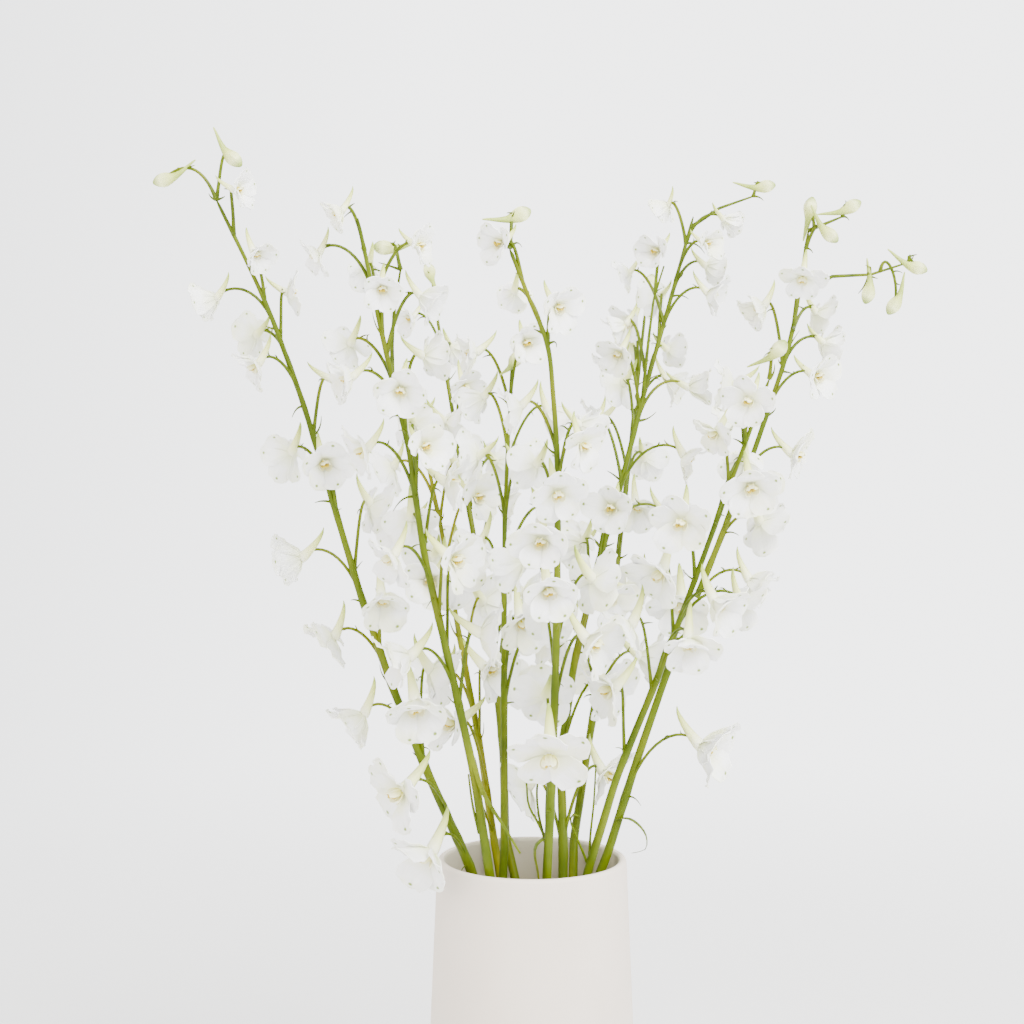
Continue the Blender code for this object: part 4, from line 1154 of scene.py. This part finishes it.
def makeFlowers(name, own):
    # all the florets of one stem; each sepal takes its own cup near its floret's
    draw = random.Random(name + "flowers")
    sheets, solids, hearts, anthers = [], [], [], []
    for flower in own:
        place = placeOf(flower)
        for index in range(bunch["sepals"]):
            lean = flower["cup"] + blade["leanBy"][index] + draw.uniform(-blade["cupSway"], blade["cupSway"])
            closest = min(blade["leans"], key=lambda known: abs(known - lean))
            sway = draw.uniform(-blade["turnSway"], blade["turnSway"])
            turn = Matrix.Rotation(math.radians(360 / bunch["sepals"] * index + sway), 4, "Z")
            grow = Matrix.Scale(draw.uniform(*blade["sizeRange"]), 4)
            sheets.append(copyAt(sepals[closest], place @ turn @ grow))
        solids += [copyAt(spurSource, place), copyAt(nubSource, place)]
        hearts.append(copyAt(heartSource, place))
        anthers.append(copyAt(antherSource, place))
    petals = joinAs(name + ".sheets", sheets)
    wave = petals.modifiers.new("wave", "DISPLACE")
    wave.texture, wave.texture_coords, wave.mid_level = rippleTexture, "LOCAL", 0.5
    wave.strength = blade["wave"] * mm
    thick = petals.modifiers.new("thick", "SOLIDIFY")
    thick.thickness, thick.offset = blade["thickness"] * mm, 0
    applyAll(petals)
    smoothPiece(petals, 60)
    spurs = joinAs("spurs_" + name, solids)
    petals = joinAs("sepals_" + name, [petals])
    return petals, spurs, joinAs("hearts_" + name, hearts), joinAs("anthers_" + name, anthers)


def makeBuds(name, plan):
    return joinAs("buds_" + name, [copyAt(budSource, placeOf(flower)) for flower in plan["budPlaces"]])


for plan in stems.values():
    planStem(plan)
    plan["budPlaces"] = [{"centre": np.array([x, y, z], float), "facing": toward(side, rise),
                          "size": bunch["budSize"], "roll": 0} for x, y, z, side, rise in plan["buds"]]
florets = planFlorets(stems)
settle(florets, stems)
print("florets settled:", len(florets))

stripProfile = makeStripProfile()
rippleTexture = bpy.data.textures.new("ripple", "CLOUDS")
rippleTexture.noise_scale = blade["waveSize"] * mm

for name, plan in stems.items():
    own = [floret for floret in florets if floret["stem"] == name]
    greens = makeGreens(name, plan, own, stemOlive if name == "stem_left_back" else stemGreen)
    petals, spurs, hearts, anthers = makeFlowers(name, own)
    buds = makeBuds(name, plan)
    for piece, slot in ((greens, "stem"), (petals, "petal"), (spurs, "petal"), (hearts, "petal"),
                        (anthers, "stamen"), (buds, "bud")):
        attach(piece, "root")
        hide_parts(name)
    print(name, "made")
drop(stripProfile, spurSource, nubSource, budSource, heartSource, antherSource, *sepals.values())

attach(vasePiece, "root")
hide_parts("vase")
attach(waterPiece, "root")
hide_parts("water")


# Floor, light and camera

studio = {
    "floor": (0.80, 0.80, 0.80), "floorSize": 60, "backdrop": (0.985, 0.99, 1.0), "backdropStrength": 4.2,
    "skyStrength": 2.2, "fadeFrom": 0.35, "fadeTo": 1.5, "sideShade": 0.74, "shadeRun": (-0.26, -0.04),
    "panelSize": 1.6, "aim": (0, 0, 0.35), "keyPlace": (1.3, -1.6, 2.2), "keyPower": 260,
    "fillPlace": (-1.8, -1.2, 1.2), "fillPower": 40, "fillColour": (1.0, 0.88, 0.74),
    "eye": (-0.010, -1.0254, 0.4655), "tilt": 86, "lens": 72.77, "sensor": 36,
}


def vectorNode(tree, operation, vector, other=None):
    node = tree.nodes.new("ShaderNodeVectorMath")
    node.operation = operation
    tree.links.new(vector, node.inputs[0])
    if other:
        node.inputs[1].default_value = other
    return node.outputs["Value" if operation == "LENGTH" else "Vector"]


def sideShade(tree, direction):
    # how strongly the backdrop shines: a little less toward the left
    split = tree.nodes.new("ShaderNodeSeparateXYZ")
    tree.links.new(vectorNode(tree, "NORMALIZE", direction), split.inputs["Vector"])
    strength = studio["backdropStrength"]
    return mapRange(tree, split.outputs["X"], *studio["shadeRun"], strength * studio["sideShade"], strength)


def makeFloor():
    # far from the vase the floor shines like the backdrop, so that no horizon shows
    deselectAll()
    bpy.ops.mesh.primitive_plane_add(size=studio["floorSize"])
    floor = bpy.context.object
    floor.name = "paleFloor"
    finish, tree, shader = startFinish("palePaper", 0.9, Specular_IOR_Level=0)
    place = objectPlace(tree)
    far = mapRange(tree, vectorNode(tree, "LENGTH", place), studio["fadeFrom"], studio["fadeTo"])
    tree.nodes[far.node.name].interpolation_type = "SMOOTHSTEP"
    tree.links.new(mixColours(tree, far, studio["floor"], (0, 0, 0)), shader.inputs["Base Color"])
    shader.inputs["Emission Color"].default_value = (*studio["backdrop"], 1)
    glow = sideShade(tree, vectorNode(tree, "SUBTRACT", place, studio["eye"]))
    tree.links.new(mathNode(tree, "MULTIPLY", far, glow), shader.inputs["Emission Strength"])
    wear(floor, finish)


def makeLamp(name, place, power, colour=(1, 1, 1)):
    deselectAll()
    bpy.ops.object.light_add(type="AREA", location=place)
    lamp = bpy.context.object
    lamp.name = name
    lamp.data.energy, lamp.data.size, lamp.data.color = power, studio["panelSize"], colour
    aim = Vector(studio["aim"]) - Vector(place)
    lamp.rotation_euler = aim.to_track_quat("-Z", "Y").to_euler()


def makeSky():
    # an even light, and a backdrop of its own that darkens a little toward the left
    sky = bpy.data.worlds.new("paleRoom")
    sky.use_nodes = True
    bpy.context.scene.world = sky
    tree = sky.node_tree
    light = tree.nodes["Background"]
    light.inputs["Color"].default_value = (1, 1, 1, 1)
    light.inputs["Strength"].default_value = studio["skyStrength"]
    seen = tree.nodes.new("ShaderNodeBackground")
    seen.inputs["Color"].default_value = (*studio["backdrop"], 1)
    direction = tree.nodes.new("ShaderNodeTexCoord").outputs["Generated"]
    tree.links.new(sideShade(tree, direction), seen.inputs["Strength"])
    ray = tree.nodes.new("ShaderNodeLightPath")
    mix = tree.nodes.new("ShaderNodeMixShader")
    tree.links.new(ray.outputs["Is Camera Ray"], mix.inputs["Fac"])
    tree.links.new(light.outputs["Background"], mix.inputs[1])
    tree.links.new(seen.outputs["Background"], mix.inputs[2])
    tree.links.new(mix.outputs["Shader"], tree.nodes["World Output"].inputs["Surface"])


def makeCamera():
    deselectAll()
    bpy.ops.object.camera_add(location=studio["eye"], rotation=(math.radians(studio["tilt"]), 0, 0))
    camera = bpy.context.object
    camera.data.sensor_width, camera.data.lens = studio["sensor"], studio["lens"]
    bpy.context.scene.camera = camera


makeFloor()
makeLamp("keyPanel", studio["keyPlace"], studio["keyPower"])
makeLamp("fillPanel", studio["fillPlace"], studio["fillPower"], studio["fillColour"])
makeSky()
makeCamera()
print("stage set")
